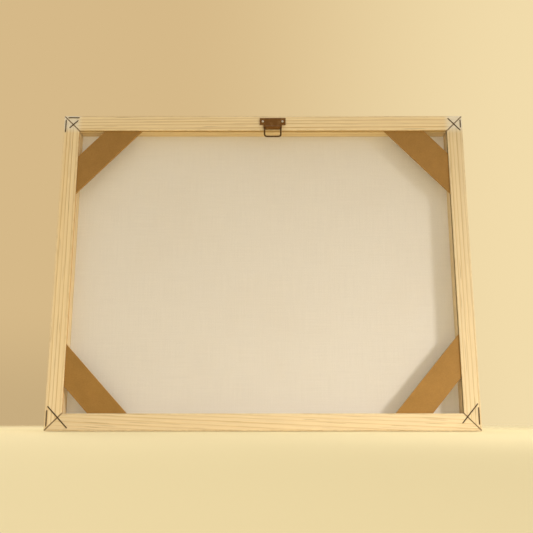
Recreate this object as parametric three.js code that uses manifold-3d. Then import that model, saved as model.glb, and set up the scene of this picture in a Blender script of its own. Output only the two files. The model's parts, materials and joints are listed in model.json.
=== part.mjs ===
// A small wooden screen printing frame: four mitred pine bars with a woven mesh stretched across
// the print side, thin fibreboard braces let in across the inner corners, wire staples at the
// mitres, and a screwed-on hanger with a swinging wire ring on the top bar.
//
// Millimetres, +Z up. The frame stands on its bottom bar. Its rear (well) side faces -Y and its
// print side faces +Y. Inside the assembly group y = 0 is the rear face of the bars; the group is
// moved so that the origin is the middle of the underside of the whole object.

import * as THREE from 'three';
import { mergeVertices } from 'three/addons/utils/BufferGeometryUtils.js';
import Module from 'manifold-3d';

const wasm = await Module();
wasm.setup();

// ---- driving dimensions ------------------------------------------------------------------

const WIDTH = 460;
const HEIGHT = 355;
const BAR = 18; // width of a bar across its face
const DEPTH = 18; // thickness of a bar, rear face to print face
const ARRIS = 0.7; // chamfer on the long edges
const GAP = 0.3; // clearance kept between touching pieces
const OVERCUT = 1; // how far a cutter runs past the face that it opens

const KERF_LIP = 1.2; // wood left between the kerf and the rear face
const KERF_WIDTH = 3.6;
const KERF_DEPTH = 5;

const BRACE_THICKNESS = KERF_WIDTH - 2 * GAP;
const BRACE_TONGUE = KERF_DEPTH - 2 * GAP; // how far a brace reaches into the kerf
// Each brace's far edge meets the inner faces this far from the inner corner, along the level bar
// and along the side bar.
const BRACES = [
  { name: 'brace_top_left', side: -1, end: 1, level: 72, upright: 75, width: 30.5 },
  { name: 'brace_top_right', side: 1, end: 1, level: 72, upright: 75, width: 33 },
  { name: 'brace_bottom_left', side: -1, end: -1, level: 68, upright: 73, width: 30.5 },
  { name: 'brace_bottom_right', side: 1, end: -1, level: 71.5, upright: 84, width: 30 },
];

const GROOVE_INSET = 6.5; // from the outer edge to the cord groove
const GROOVE_WIDTH = 5;
const GROOVE_DEPTH = 5.5;
const CORD_DIAMETER = 3.8;
const CORD_SINK = 0.4; // the cord lies this far below the print face
const CORD_SIDES = 12;

const MESH_THICKNESS = 0.4;

const STAPLE_WIRE = 1.1; // thickness of the wire, and its width along the crown
const STAPLE_WIDTH = 1.4;
const STAPLE_LEG = 10;
const STAPLE_PROUD = 0.6; // how far a crown stands out of the wood
const STAPLE_BEND = 1.5;

const HANGER_X = 11;
const HANGER_TOP = 3; // from the top edge of the frame to the top of the plate
const HANGER_WIDTH = 29.8;
const HANGER_EAR = 8.3; // height of the wide upper part
const STRAP_WIDTH = 21.3;
const STRAP_DROP = 4; // strap below the wide part, down to the middle of the roll
const HANGER_SHEET = 1;
const ROLL_WIDTH = 16.6;
const ROLL_TURN = THREE.MathUtils.degToRad(290);
const ROLL_STEPS = 20;
const ROLL_OVERLAP = 1; // the roll runs this far up into the strap

const RING_WIRE = 1.8;
const RING_WIDTH = 20.6; // outside to outside
const RING_DROP = 11; // from the swing axis to the middle of the bottom wire
const RING_TOP_BEND = 1.5;
const RING_BOTTOM_BEND = 3;
const RING_SEAM = 0.5; // the two wire ends meet inside the roll
const RING_STEPS = 76;
const RING_SIDES = 8;

const SCREW_SPACING = 22.6;
const SCREW_DROP = 4.6; // below the top of the plate
const SCREW_HEAD_RADIUS = 1.4;
const SCREW_HEAD_HEIGHT = 1;
const SCREW_DOME = [[0, 1], [0.55, 0.94], [0.88, 0.6], [1, 0.2], [1, 0]]; // shares of radius and height
const SCREW_SHANK_RADIUS = 0.8;
const SCREW_LENGTH = 9;
const SCREW_POINT = 2.4;
const SCREW_SIDES = 16;
const SLOT_WIDTH = 0.5;
const SLOT_DEPTH = 0.5;

// Each staple runs between two points, given as [inset from the side edge, inset from the end edge].
const STAPLES = [
  { name: 'mitre_staple_top_left', side: -1, end: 1, from: [6.6, 14.8], to: [16.2, 5.5] },
  { name: 'mitre_staple_top_right', side: 1, end: 1, from: [16.4, 2.7], to: [2.6, 17.6] },
  { name: 'mitre_staple_bottom_left', side: -1, end: -1, from: [2.6, 25.4], to: [24.4, 2.8] },
  { name: 'mitre_staple_bottom_right', side: 1, end: -1, from: [2.6, 28.2], to: [20.1, 7.8] },
  { name: 'edge_staple_top_left', side: -1, end: 1, from: [2.2, 4.6], to: [2.2, 20] },
  { name: 'edge_staple_top_right', side: 1, end: 1, from: [2.2, 4.4], to: [2.2, 14.2] },
  { name: 'edge_staple_bottom_left', side: -1, end: -1, from: [2.2, 4.6], to: [2.2, 21.4] },
  { name: 'edge_staple_bottom_right', side: 1, end: -1, from: [2.2, 6.5], to: [2.2, 24.3] },
  { name: 'rail_staple_top_left', side: -1, end: 1, from: [4.4, 2.2], to: [17.6, 2.2] },
];

// ---- finishes ----------------------------------------------------------------------------

function finish(color, roughness, metalness) {
  return () => new THREE.MeshStandardMaterial({ color, roughness, metalness });
}

const pine = finish('#e3c48a', 0.7, 0);
const fibreboard = finish('#9b6e30', 0.85, 0);
const wovenMesh = finish('#dccdaf', 0.9, 0);
const cordFibre = finish('#efe6d2', 0.9, 0);
const stapleWire = finish('#8d8577', 0.4, 0.9);
const bronze = finish('#6d4a24', 0.45, 0.8);
const brightSteel = finish('#d8cfbd', 0.3, 0.9);

// ---- solids ------------------------------------------------------------------------------

/** Turns a closed three.js geometry into a solid that can be cut and joined. */
function solidOf(geometry) {
  const bare = geometry.clone();
  bare.deleteAttribute('normal');
  bare.deleteAttribute('uv');
  const merged = mergeVertices(bare, 1e-4);
  return new wasm.Manifold(
    new wasm.Mesh({
      numProp: 3,
      vertProperties: new Float32Array(merged.attributes.position.array),
      triVerts: new Uint32Array(merged.index.array),
    }),
  );
}

function geometryOf(solid) {
  const mesh = solid.getMesh();
  const geometry = new THREE.BufferGeometry();
  geometry.setAttribute('position', new THREE.BufferAttribute(mesh.vertProperties, 3));
  geometry.setIndex(new THREE.BufferAttribute(mesh.triVerts, 1));
  geometry.computeVertexNormals();
  return geometry;
}

/** A block between two opposite corners. */
function block(low, high) {
  const size = high.map((value, axis) => value - low[axis]);
  const middle = high.map((value, axis) => (value + low[axis]) / 2);
  return new THREE.BoxGeometry(...size).translate(...middle);
}

function outline(points) {
  return new THREE.Shape(points.map(([x, y]) => new THREE.Vector2(x, y)));
}

function extrude(shape, depth, curveSegments = 6) {
  return new THREE.ExtrudeGeometry(shape, { depth, curveSegments, bevelEnabled: false });
}

/** Turns shape x, shape y and the extrusion into the three given directions. */
function turn(geometry, right, up, forward) {
  const matrix = new THREE.Matrix4().makeBasis(
    new THREE.Vector3(...right),
    new THREE.Vector3(...up),
    new THREE.Vector3(...forward),
  );
  return geometry.applyMatrix4(matrix);
}

function cut(solid, cutters) {
  return cutters.reduce((left, cutter) => left.subtract(cutter), solid);
}

function named(name, geometry, material) {
  const mesh = new THREE.Mesh(geometry, material());
  mesh.name = name;
  return mesh;
}

// ---- staples -----------------------------------------------------------------------------

/** The U of a staple seen from its side, with its crown at y = 0 and grown all round by extra. */
function stapleOutline(crown, extra) {
  const left = -STAPLE_WIRE / 2 - extra;
  const right = crown + STAPLE_WIRE / 2 + extra;
  const top = -extra;
  const wire = STAPLE_WIRE + 2 * extra;
  const tip = STAPLE_LEG + extra;
  const chisel = tip - STAPLE_WIRE;
  const shape = new THREE.Shape();
  shape.moveTo(left, tip);
  shape.lineTo(left, top + STAPLE_BEND);
  shape.quadraticCurveTo(left, top, left + STAPLE_BEND, top);
  shape.lineTo(right - STAPLE_BEND, top);
  shape.quadraticCurveTo(right, top, right, top + STAPLE_BEND);
  shape.lineTo(right, tip);
  shape.lineTo(right - wire, chisel);
  shape.lineTo(right - wire, top + wire);
  shape.lineTo(left + wire, top + wire);
  shape.lineTo(left + wire, chisel);
  shape.closePath();
  return shape;
}

function stapleGeometry(staple, extra) {
  const [start, finishPoint] = [staple.from, staple.to].map(([inset, drop]) => [
    staple.side * (WIDTH / 2 - inset),
    staple.end > 0 ? HEIGHT - drop : drop,
  ]);
  const run = [finishPoint[0] - start[0], finishPoint[1] - start[1]];
  const crown = Math.hypot(...run);
  const along = [run[0] / crown, 0, run[1] / crown];
  const across = [-along[2], 0, along[0]];
  const width = STAPLE_WIDTH + 2 * extra;
  const geometry = extrude(stapleOutline(crown, extra), width, 4);
  geometry.translate(0, -STAPLE_PROUD, -width / 2);
  turn(geometry, along, [0, 1, 0], across);
  return geometry.translate(start[0], 0, start[1]);
}

const stapleHoles = STAPLES.map((staple) => solidOf(stapleGeometry(staple, GAP)));

// ---- hanger ------------------------------------------------------------------------------

const PLATE_BACK = -GAP;
const PLATE_FRONT = PLATE_BACK - HANGER_SHEET;
const PLATE_TOP = HEIGHT - HANGER_TOP;
const ROLL_INNER = RING_WIRE / 2 + GAP;
const ROLL_OUTER = ROLL_INNER + HANGER_SHEET;
const AXIS_Y = PLATE_BACK - ROLL_OUTER;
const AXIS_Z = PLATE_TOP - HANGER_EAR - STRAP_DROP;
const SCREW_Z = PLATE_TOP - SCREW_DROP;
const SCREW_XS = { left: HANGER_X - SCREW_SPACING / 2, right: HANGER_X + SCREW_SPACING / 2 };

/** A straight round hole along Y. */
function holeAlongY(x, z, radius, fromY, toY) {
  const length = toY - fromY;
  const geometry = new THREE.CylinderGeometry(radius, radius, length, SCREW_SIDES);
  return solidOf(geometry.translate(x, fromY + length / 2, z));
}

function hangerPlate() {
  const ear = HANGER_WIDTH / 2;
  const strap = STRAP_WIDTH / 2;
  const shape = outline([
    [-ear, PLATE_TOP - HANGER_EAR],
    [-strap, PLATE_TOP - HANGER_EAR],
    [-strap, AXIS_Z],
    [strap, AXIS_Z],
    [strap, PLATE_TOP - HANGER_EAR],
    [ear, PLATE_TOP - HANGER_EAR],
    [ear, PLATE_TOP],
    [-ear, PLATE_TOP],
  ]);
  const sheet = turn(extrude(shape, HANGER_SHEET), [1, 0, 0], [0, 0, 1], [0, -1, 0]);
  sheet.translate(HANGER_X, PLATE_BACK, 0);

  const roll = new THREE.Shape();
  roll.moveTo(ROLL_OUTER, ROLL_OVERLAP);
  roll.lineTo(ROLL_OUTER, 0);
  roll.absarc(0, 0, ROLL_OUTER, 0, -ROLL_TURN, true);
  roll.absarc(0, 0, ROLL_INNER, -ROLL_TURN, 0, false);
  roll.lineTo(ROLL_INNER, ROLL_OVERLAP);
  roll.closePath();
  const tube = turn(extrude(roll, ROLL_WIDTH, ROLL_STEPS), [0, 1, 0], [0, 0, 1], [1, 0, 0]);
  tube.translate(HANGER_X - ROLL_WIDTH / 2, AXIS_Y, AXIS_Z);

  const holes = Object.values(SCREW_XS).map((x) =>
    holeAlongY(x, SCREW_Z, SCREW_SHANK_RADIUS + GAP, PLATE_FRONT - OVERCUT, PLATE_BACK + OVERCUT),
  );
  return geometryOf(cut(solidOf(sheet).add(solidOf(tube)), holes));
}

/** The wire's centre line: a rounded rectangle whose ends nearly meet in the middle of its top. */
function ringPath() {
  const side = (RING_WIDTH - RING_WIRE) / 2;
  const at = (x, z) => new THREE.Vector3(HANGER_X + x, AXIS_Y, AXIS_Z + z);
  const path = new THREE.CurvePath();
  const line = (a, b) => path.add(new THREE.LineCurve3(at(...a), at(...b)));
  const bend = (a, corner, b) => {
    path.add(new THREE.QuadraticBezierCurve3(at(...a), at(...corner), at(...b)));
  };
  const shoulder = side - RING_TOP_BEND;
  const foot = side - RING_BOTTOM_BEND;
  const ankle = RING_BOTTOM_BEND - RING_DROP;
  line([RING_SEAM / 2, 0], [shoulder, 0]);
  bend([shoulder, 0], [side, 0], [side, -RING_TOP_BEND]);
  line([side, -RING_TOP_BEND], [side, ankle]);
  bend([side, ankle], [side, -RING_DROP], [foot, -RING_DROP]);
  line([foot, -RING_DROP], [-foot, -RING_DROP]);
  bend([-foot, -RING_DROP], [-side, -RING_DROP], [-side, ankle]);
  line([-side, ankle], [-side, -RING_TOP_BEND]);
  bend([-side, -RING_TOP_BEND], [-side, 0], [-shoulder, 0]);
  line([-shoulder, 0], [-RING_SEAM / 2, 0]);
  return path;
}

function hangerRing() {
  const section = new THREE.Shape();
  for (let i = 0; i < RING_SIDES; i += 1) {
    const angle = ((i + 0.5) / RING_SIDES) * 2 * Math.PI;
    const radius = RING_WIRE / 2;
    const point = [radius * Math.cos(angle), radius * Math.sin(angle)];
    if (i === 0) section.moveTo(...point);
    else section.lineTo(...point);
  }
  section.closePath();
  return new THREE.ExtrudeGeometry(section, {
    steps: RING_STEPS,
    extrudePath: ringPath(),
    bevelEnabled: false,
  });
}

/** A slotted round-head screw along +Y, with the underside of its head at y = 0. */
function hangerScrew() {
  const dome = SCREW_DOME.map(([out, up]) => [SCREW_HEAD_RADIUS * out, -SCREW_HEAD_HEIGHT * up]);
  const profile = [
    ...dome,
    [SCREW_SHANK_RADIUS, 0],
    [SCREW_SHANK_RADIUS, SCREW_LENGTH - SCREW_POINT],
    [0, SCREW_LENGTH],
  ].map(([radius, y]) => new THREE.Vector2(radius, y));
  const body = solidOf(new THREE.LatheGeometry(profile, SCREW_SIDES));
  const reach = SCREW_HEAD_RADIUS + OVERCUT;
  const slot = block(
    [-reach, -SCREW_HEAD_HEIGHT - OVERCUT, -SLOT_WIDTH / 2],
    [reach, -SCREW_HEAD_HEIGHT + SLOT_DEPTH, SLOT_WIDTH / 2],
  );
  return geometryOf(body.subtract(solidOf(slot)));
}

const screwHoles = Object.values(SCREW_XS).map((x) =>
  holeAlongY(x, SCREW_Z, SCREW_SHANK_RADIUS + GAP, -OVERCUT, SCREW_LENGTH),
);

// ---- bars --------------------------------------------------------------------------------

const MITRE_CUT_BACK = GAP / Math.SQRT2; // along the bar, half the joint's gap on each side

/** A mitred bar lying along X with its outer edge at z = 0 and its inner face at z = BAR. */
function barSolid(length) {
  const half = length / 2;
  const section = outline([
    [ARRIS, 0],
    [DEPTH - ARRIS, 0],
    [DEPTH, ARRIS],
    [DEPTH, BAR - ARRIS],
    [DEPTH - ARRIS, BAR],
    [ARRIS, BAR],
    [0, BAR - ARRIS],
    [0, ARRIS],
  ]);
  const stock = turn(extrude(section, length), [0, 1, 0], [0, 0, 1], [1, 0, 0]);
  stock.translate(-half, 0, 0);

  const end = half - MITRE_CUT_BACK;
  const mitred = outline([
    [-end - OVERCUT, -OVERCUT],
    [end + OVERCUT, -OVERCUT],
    [end - BAR - OVERCUT, BAR + OVERCUT],
    [BAR - end + OVERCUT, BAR + OVERCUT],
  ]);
  const mitres = turn(extrude(mitred, DEPTH + 2 * OVERCUT), [1, 0, 0], [0, 0, 1], [0, -1, 0]);
  mitres.translate(0, DEPTH + OVERCUT, 0);

  const kerf = block(
    [-half, KERF_LIP, BAR - KERF_DEPTH],
    [half, KERF_LIP + KERF_WIDTH, BAR + OVERCUT],
  );
  const groove = block(
    [-half, DEPTH - GROOVE_DEPTH, GROOVE_INSET],
    [half, DEPTH + OVERCUT, GROOVE_INSET + GROOVE_WIDTH],
  );
  return solidOf(stock).intersect(solidOf(mitres)).subtract(solidOf(kerf)).subtract(solidOf(groove));
}

const BARS = [
  { name: 'bottom_bar', length: WIDTH, turns: 0, place: [0, 0] },
  { name: 'top_bar', length: WIDTH, turns: 2, place: [0, HEIGHT] },
  { name: 'left_bar', length: HEIGHT, turns: 1, place: [-WIDTH / 2, HEIGHT / 2] },
  { name: 'right_bar', length: HEIGHT, turns: -1, place: [WIDTH / 2, HEIGHT / 2] },
];

function barGeometry(bar) {
  const geometry = geometryOf(barSolid(bar.length));
  geometry.rotateY((bar.turns * Math.PI) / 2);
  geometry.translate(bar.place[0], 0, bar.place[1]);
  return geometryOf(cut(solidOf(geometry), [...stapleHoles, ...screwHoles]));
}

// ---- corner braces -----------------------------------------------------------------------

const BRACE_BACK = KERF_LIP + GAP;

/** Where an edge that crosses the inner faces at these legs meets the bottoms of the kerfs. */
function kerfEnds(level, upright) {
  return [level * (1 + BRACE_TONGUE / upright), upright * (1 + BRACE_TONGUE / level)];
}

/** A strip across one inner corner, its ends cut to lie along the bottoms of the two kerfs. */
function braceGeometry({ side, end, level, upright, width }) {
  const corner = [side * (WIDTH / 2 - BAR), end > 0 ? HEIGHT - BAR : BAR];
  const reach = (level * upright) / Math.hypot(level, upright);
  const near = 1 - width / reach;
  const [farLevel, farUpright] = kerfEnds(level, upright);
  const [nearLevel, nearUpright] = kerfEnds(level * near, upright * near);
  const points = [
    [nearLevel, -BRACE_TONGUE],
    [farLevel, -BRACE_TONGUE],
    [-BRACE_TONGUE, farUpright],
    [-BRACE_TONGUE, nearUpright],
  ].map(([across, along]) => [corner[0] - side * across, corner[1] - end * along]);
  const plate = turn(extrude(outline(points), BRACE_THICKNESS), [1, 0, 0], [0, 0, 1], [0, -1, 0]);
  return plate.translate(0, BRACE_BACK + BRACE_THICKNESS, 0);
}

// ---- mesh and its cords ------------------------------------------------------------------

const MESH_INSET = GROOVE_INSET + GROOVE_WIDTH;

function meshGeometry() {
  const near = DEPTH + GAP;
  return block(
    [MESH_INSET - WIDTH / 2, near, MESH_INSET],
    [WIDTH / 2 - MESH_INSET, near + MESH_THICKNESS, HEIGHT - MESH_INSET],
  );
}

const CORD_INSET = GROOVE_INSET + GROOVE_WIDTH / 2;
const CORD_Y = DEPTH - CORD_SINK - CORD_DIAMETER / 2;
const CORD_END = GROOVE_INSET + GAP; // a level cord runs the whole groove
const CORD_BUTT = CORD_INSET + CORD_DIAMETER / 2 + GAP; // an upright cord ends against the level ones

function cordMesh(name, length) {
  const radius = CORD_DIAMETER / 2;
  return named(name, new THREE.CylinderGeometry(radius, radius, length, CORD_SIDES), cordFibre);
}

// ---- assembly ----------------------------------------------------------------------------

const assembly = new THREE.Group();

for (const bar of BARS) {
  assembly.add(named(bar.name, barGeometry(bar), pine));
}

for (const brace of BRACES) {
  assembly.add(named(brace.name, braceGeometry(brace), fibreboard));
}

for (const [end, endName] of [[1, 'top'], [-1, 'bottom']]) {
  const level = cordMesh(`mesh_cord_${endName}`, WIDTH - 2 * CORD_END);
  level.rotation.z = Math.PI / 2;
  level.position.set(0, CORD_Y, end > 0 ? HEIGHT - CORD_INSET : CORD_INSET);
  assembly.add(level);
}

for (const [side, sideName] of [[-1, 'left'], [1, 'right']]) {
  const upright = cordMesh(`mesh_cord_${sideName}`, HEIGHT - 2 * CORD_BUTT);
  upright.rotation.x = Math.PI / 2;
  upright.position.set(side * (WIDTH / 2 - CORD_INSET), CORD_Y, HEIGHT / 2);
  assembly.add(upright);

  const screw = named(`hanger_screw_${sideName}`, hangerScrew(), brightSteel);
  screw.position.set(SCREW_XS[sideName], PLATE_FRONT - GAP, SCREW_Z);
  assembly.add(screw);
}

for (const staple of STAPLES) {
  assembly.add(named(staple.name, stapleGeometry(staple, 0), stapleWire));
}

assembly.add(named('printing_mesh', meshGeometry(), wovenMesh));
assembly.add(named('hanger_plate', hangerPlate(), bronze));
assembly.add(named('hanger_ring', hangerRing(), bronze));

const FRONT_REACH = AXIS_Y - ROLL_OUTER;
const BACK_REACH = DEPTH + GAP + MESH_THICKNESS;
assembly.position.y = -(FRONT_REACH + BACK_REACH) / 2;

const printingFrame = new THREE.Group();
printingFrame.name = 'screen_printing_frame';
printingFrame.add(assembly);

export default printingFrame;
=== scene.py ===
"""Screen printing frame: pine bars, fibreboard braces, woven mesh, staples and a swinging hanger."""

import json
import math
import random

import bmesh
import bpy
from bpy.props import FloatProperty, FloatVectorProperty, IntProperty, PointerProperty
from mathutils import Matrix, Vector, noise


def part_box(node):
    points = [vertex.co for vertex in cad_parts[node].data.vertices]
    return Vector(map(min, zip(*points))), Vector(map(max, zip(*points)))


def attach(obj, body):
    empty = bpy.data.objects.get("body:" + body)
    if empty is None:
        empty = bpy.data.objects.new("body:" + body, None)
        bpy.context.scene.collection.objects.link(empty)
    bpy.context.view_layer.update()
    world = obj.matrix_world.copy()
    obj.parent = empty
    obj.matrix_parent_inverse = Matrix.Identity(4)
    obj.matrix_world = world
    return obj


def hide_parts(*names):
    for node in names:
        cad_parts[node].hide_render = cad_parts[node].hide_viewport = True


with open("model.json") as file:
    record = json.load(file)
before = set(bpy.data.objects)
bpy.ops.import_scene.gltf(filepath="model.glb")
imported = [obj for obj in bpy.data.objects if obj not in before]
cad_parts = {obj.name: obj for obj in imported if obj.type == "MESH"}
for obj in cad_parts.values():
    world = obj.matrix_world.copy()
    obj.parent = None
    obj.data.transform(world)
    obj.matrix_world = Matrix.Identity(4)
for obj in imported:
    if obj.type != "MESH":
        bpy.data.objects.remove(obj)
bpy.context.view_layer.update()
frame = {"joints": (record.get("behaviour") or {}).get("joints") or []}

bl_info = {
    "name": "Screen printing frame",
    "version": (1, 0, 0),
    "blender": (4, 5, 0),
    "location": "3D View > Sidebar > Printing Frame",
    "description": "Builds the pieces, finishes and studio of a small wooden screen printing frame",
    "category": "Object",
}

MM = 0.001
BARS = ("top_bar", "bottom_bar", "left_bar", "right_bar")
CORNERS = {"top_left": (-1, 1), "top_right": (1, 1), "bottom_left": (-1, -1), "bottom_right": (1, -1)}
BRACE_WIDTHS = {
    "top_left": 30.5 * MM, "top_right": 33 * MM,
    "bottom_left": 30.5 * MM, "bottom_right": 30 * MM,
}
STAPLES = [f"mitre_staple_{corner}" for corner in CORNERS]
STAPLES += [f"edge_staple_{corner}" for corner in CORNERS]
STAPLES += ["rail_staple_top_left"]

BOTTOM_LOW, BOTTOM_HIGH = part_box("bottom_bar")
TOP_LOW, TOP_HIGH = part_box("top_bar")
LEFT_LOW, LEFT_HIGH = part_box("left_bar")
RIGHT_LOW, RIGHT_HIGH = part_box("right_bar")
REAR = BOTTOM_LOW.y
PRINT_SIDE = BOTTOM_HIGH.y
HALF_WIDTH = RIGHT_HIGH.x
HEIGHT = TOP_HIGH.z
BAR = BOTTOM_HIGH.z
DEPTH = PRINT_SIDE - REAR
SWING_AXIS = Vector(frame["joints"][0]["pos_m"])


def colour(code):
    """The linear colour of a six-figure hex code."""
    parts = [int(code[i : i + 2], 16) / 255 for i in (1, 3, 5)]
    return tuple(c / 12.92 if c <= 0.04045 else ((c + 0.055) / 1.055) ** 2.4 for c in parts)


# ---- sizes and colours -------------------------------------------------------------------


class FrameSizes(bpy.types.PropertyGroup):
    """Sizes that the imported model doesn't state by a box of its own."""

    arris: FloatProperty(
        name="Arris", description="Rounding of the long edges of the bars", default=0.7 * MM, unit="LENGTH"
    )
    wear_band: FloatProperty(
        name="Wear band", description="Width of the rubbed strip at an arris", default=2.2 * MM, unit="LENGTH"
    )
    mitre_gap: FloatProperty(
        name="Mitre gap", description="Open joint between two bars", default=0.3 * MM, unit="LENGTH"
    )
    kerf_lip: FloatProperty(
        name="Kerf lip", description="Wood from the kerf to the rear face", default=1.4 * MM, unit="LENGTH"
    )
    kerf_width: FloatProperty(
        name="Kerf width", description="Saw cut that holds the braces", default=3.2 * MM, unit="LENGTH"
    )
    kerf_depth: FloatProperty(
        name="Kerf depth", description="Depth of the saw cut", default=5 * MM, unit="LENGTH"
    )
    groove_inset: FloatProperty(
        name="Groove inset", description="Outer edge to the cord groove", default=6.5 * MM, unit="LENGTH"
    )
    groove_width: FloatProperty(
        name="Groove width", description="Width of the cord groove", default=5 * MM, unit="LENGTH"
    )
    groove_depth: FloatProperty(
        name="Groove depth", description="Depth of the cord groove", default=5.5 * MM, unit="LENGTH"
    )
    cloth_thickness: FloatProperty(
        name="Cloth thickness", description="Thickness of the woven mesh", default=0.22 * MM, unit="LENGTH"
    )
    thread_pitch: FloatProperty(
        name="Thread pitch", description="Spacing of the threads of the mesh", default=0.7 * MM, unit="LENGTH"
    )
    cloth_margin: FloatProperty(
        name="Cloth margin", description="Cloth left outside the groove", default=3 * MM, unit="LENGTH"
    )
    cord_twist: FloatProperty(
        name="Cord twist", description="Length of one turn of the strands", default=11 * MM, unit="LENGTH"
    )
    staple_wire: FloatProperty(
        name="Staple wire", description="Thickness of the staple wire", default=1.3 * MM, unit="LENGTH"
    )
    hanger_sheet: FloatProperty(
        name="Hanger sheet", description="Thickness of the hanger's metal", default=1 * MM, unit="LENGTH"
    )
    hanger_ear: FloatProperty(
        name="Hanger ear", description="Height of the hanger's wide part", default=8.3 * MM, unit="LENGTH"
    )
    strap_width: FloatProperty(
        name="Strap width", description="Width of the hanger's lower part", default=21.3 * MM, unit="LENGTH"
    )
    roll_width: FloatProperty(
        name="Roll width", description="Width of the roll for the ring", default=16.6 * MM, unit="LENGTH"
    )
    ring_wire: FloatProperty(
        name="Ring wire", description="Thickness of the ring's wire", default=1.8 * MM, unit="LENGTH"
    )
    cloth_cells: IntProperty(
        name="Cloth cells", description="Cells of the cloth's cage along the width", default=92, min=8
    )


class FrameColours(bpy.types.PropertyGroup):
    """Colours of the finishes."""

    pine_light: FloatVectorProperty(
        name="Pine, early wood", description="Pale wood between the rings", subtype="COLOR",
        default=colour("#EBD5AB"), min=0, max=1,
    )
    pine_dark: FloatVectorProperty(
        name="Pine, late wood", description="Darker lines of the rings", subtype="COLOR",
        default=colour("#BE9860"), min=0, max=1,
    )
    # The saw-cut colour is sawn wood's own tone; pine_finish dims it for each bar as painted shade in the
    # kerf and groove.
    saw_cut: FloatVectorProperty(
        name="Saw cut", description="Darkened wood inside the kerf", subtype="COLOR",
        default=colour("#EBCB93"), min=0, max=1,
    )
    fibreboard: FloatVectorProperty(
        name="Fibreboard", description="Face of the braces", subtype="COLOR",
        default=colour("#966E32"), min=0, max=1,
    )
    fibreboard_edge: FloatVectorProperty(
        name="Fibreboard edge", description="Cut edge of the braces", subtype="COLOR",
        default=colour("#B48C50"), min=0, max=1,
    )
    cloth: FloatVectorProperty(
        name="Mesh cloth", description="Threads of the mesh", subtype="COLOR",
        default=colour("#F3EFE9"), min=0, max=1,
    )
    cord: FloatVectorProperty(
        name="Groove cord", description="Twisted cord in the groove", subtype="COLOR",
        default=colour("#EDE3CC"), min=0, max=1,
    )
    staple: FloatVectorProperty(
        name="Staple wire", description="Drawn steel wire", subtype="COLOR",
        default=colour("#65543F"), min=0, max=1,
    )
    bronze: FloatVectorProperty(
        name="Bronze", description="Lacquered hanger", subtype="COLOR",
        default=colour("#7C5120"), min=0, max=1,
    )
    bronze_worn: FloatVectorProperty(
        name="Bronze, rubbed", description="Hanger where the lacquer is rubbed", subtype="COLOR",
        default=colour("#A47C46"), min=0, max=1,
    )
    screw: FloatVectorProperty(
        name="Screw", description="Bright plated screws", subtype="COLOR",
        default=colour("#E0D6C2"), min=0, max=1,
    )
    floor: FloatVectorProperty(
        name="Floor", description="Plain studio floor", subtype="COLOR",
        default=colour("#F9E8B9"), min=0, max=1,
    )
    far_floor: FloatVectorProperty(
        name="Far floor", description="Tone that the floor melts into", subtype="COLOR",
        default=colour("#F0DAA9"), min=0, max=1,
    )
    # Darker than the right-hand tone as painted shade; the room also darkens it low down as a painted shadow
    # of the frame.
    backdrop_left_shaded: FloatVectorProperty(
        name="Backdrop, left", description="Tone behind the frame on the left", subtype="COLOR",
        default=colour("#D6B988"), min=0, max=1,
    )
    # Brighter than the left-hand tone as painted light from the key light's side.
    backdrop_right_lit: FloatVectorProperty(
        name="Backdrop, right", description="Tone behind the frame on the right", subtype="COLOR",
        default=colour("#F2DCAB"), min=0, max=1,
    )
    room_light: FloatVectorProperty(
        name="Room light", description="Colour of the light from all round", subtype="COLOR",
        default=(1.0, 0.96, 0.88), min=0, max=1,
    )
    sky_light: FloatVectorProperty(
        name="Ceiling light", description="Colour of the light from above", subtype="COLOR",
        default=(0.98, 1.0, 1.0), min=0, max=1,
    )
    key_light: FloatVectorProperty(
        name="Key light", description="Colour of the main light", subtype="COLOR",
        default=(1.0, 0.975, 0.94), min=0, max=1,
    )


class FrameStudio(bpy.types.PropertyGroup):
    """Camera and lights."""

    lens: FloatProperty(name="Lens", description="Focal length in millimetres", default=46.35)
    pitch: FloatProperty(
        name="Pitch", description="Upward tilt of the camera", default=math.radians(12.375), subtype="ANGLE"
    )
    distance: FloatProperty(
        name="Distance", description="From the rear face to the camera", default=0.7394, unit="LENGTH"
    )
    eye_height: FloatProperty(
        name="Eye height", description="Camera above the floor", default=14.25 * MM, unit="LENGTH"
    )
    sideways: FloatProperty(
        name="Sideways", description="Camera right of the middle", default=3.9 * MM, unit="LENGTH"
    )
    room_strength: FloatProperty(name="Room light", description="Light from all round", default=0.74)
    ceiling_strength: FloatProperty(name="Ceiling", description="Light from above", default=1.05)
    key_power: FloatProperty(name="Key light", description="Power of the main light in watts", default=0.7)
    key_spread: FloatProperty(
        name="Key spread", description="Angle that the main light's grid lets out",
        default=math.radians(34), subtype="ANGLE",
    )
    rear_power: FloatProperty(name="Rear light", description="Power of the back light in watts", default=8.0)


# ---- making pieces -----------------------------------------------------------------------


def link(name, data):
    obj = bpy.data.objects.new(name, data)
    bpy.context.scene.collection.objects.link(obj)
    return obj


def finish_piece(obj, body, slot, *nodes):
    """The piece rides on its body and shows in place of its CAD nodes."""
    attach(obj, body)
    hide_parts(*nodes)
    return obj


def mesh_of(bm, name):
    bmesh.ops.recalc_face_normals(bm, faces=bm.faces)
    mesh = bpy.data.meshes.new(name)
    bm.to_mesh(mesh)
    bm.free()
    return mesh


def smooth(mesh):
    mesh.polygons.foreach_set("use_smooth", [True] * len(mesh.polygons))


def apply_stack(obj):
    """Turns an object's modifiers into its mesh."""
    depsgraph = bpy.context.evaluated_depsgraph_get()
    mesh = bpy.data.meshes.new_from_object(obj.evaluated_get(depsgraph))
    mesh.name = obj.data.name
    obj.modifiers.clear()
    obj.data = mesh


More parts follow.
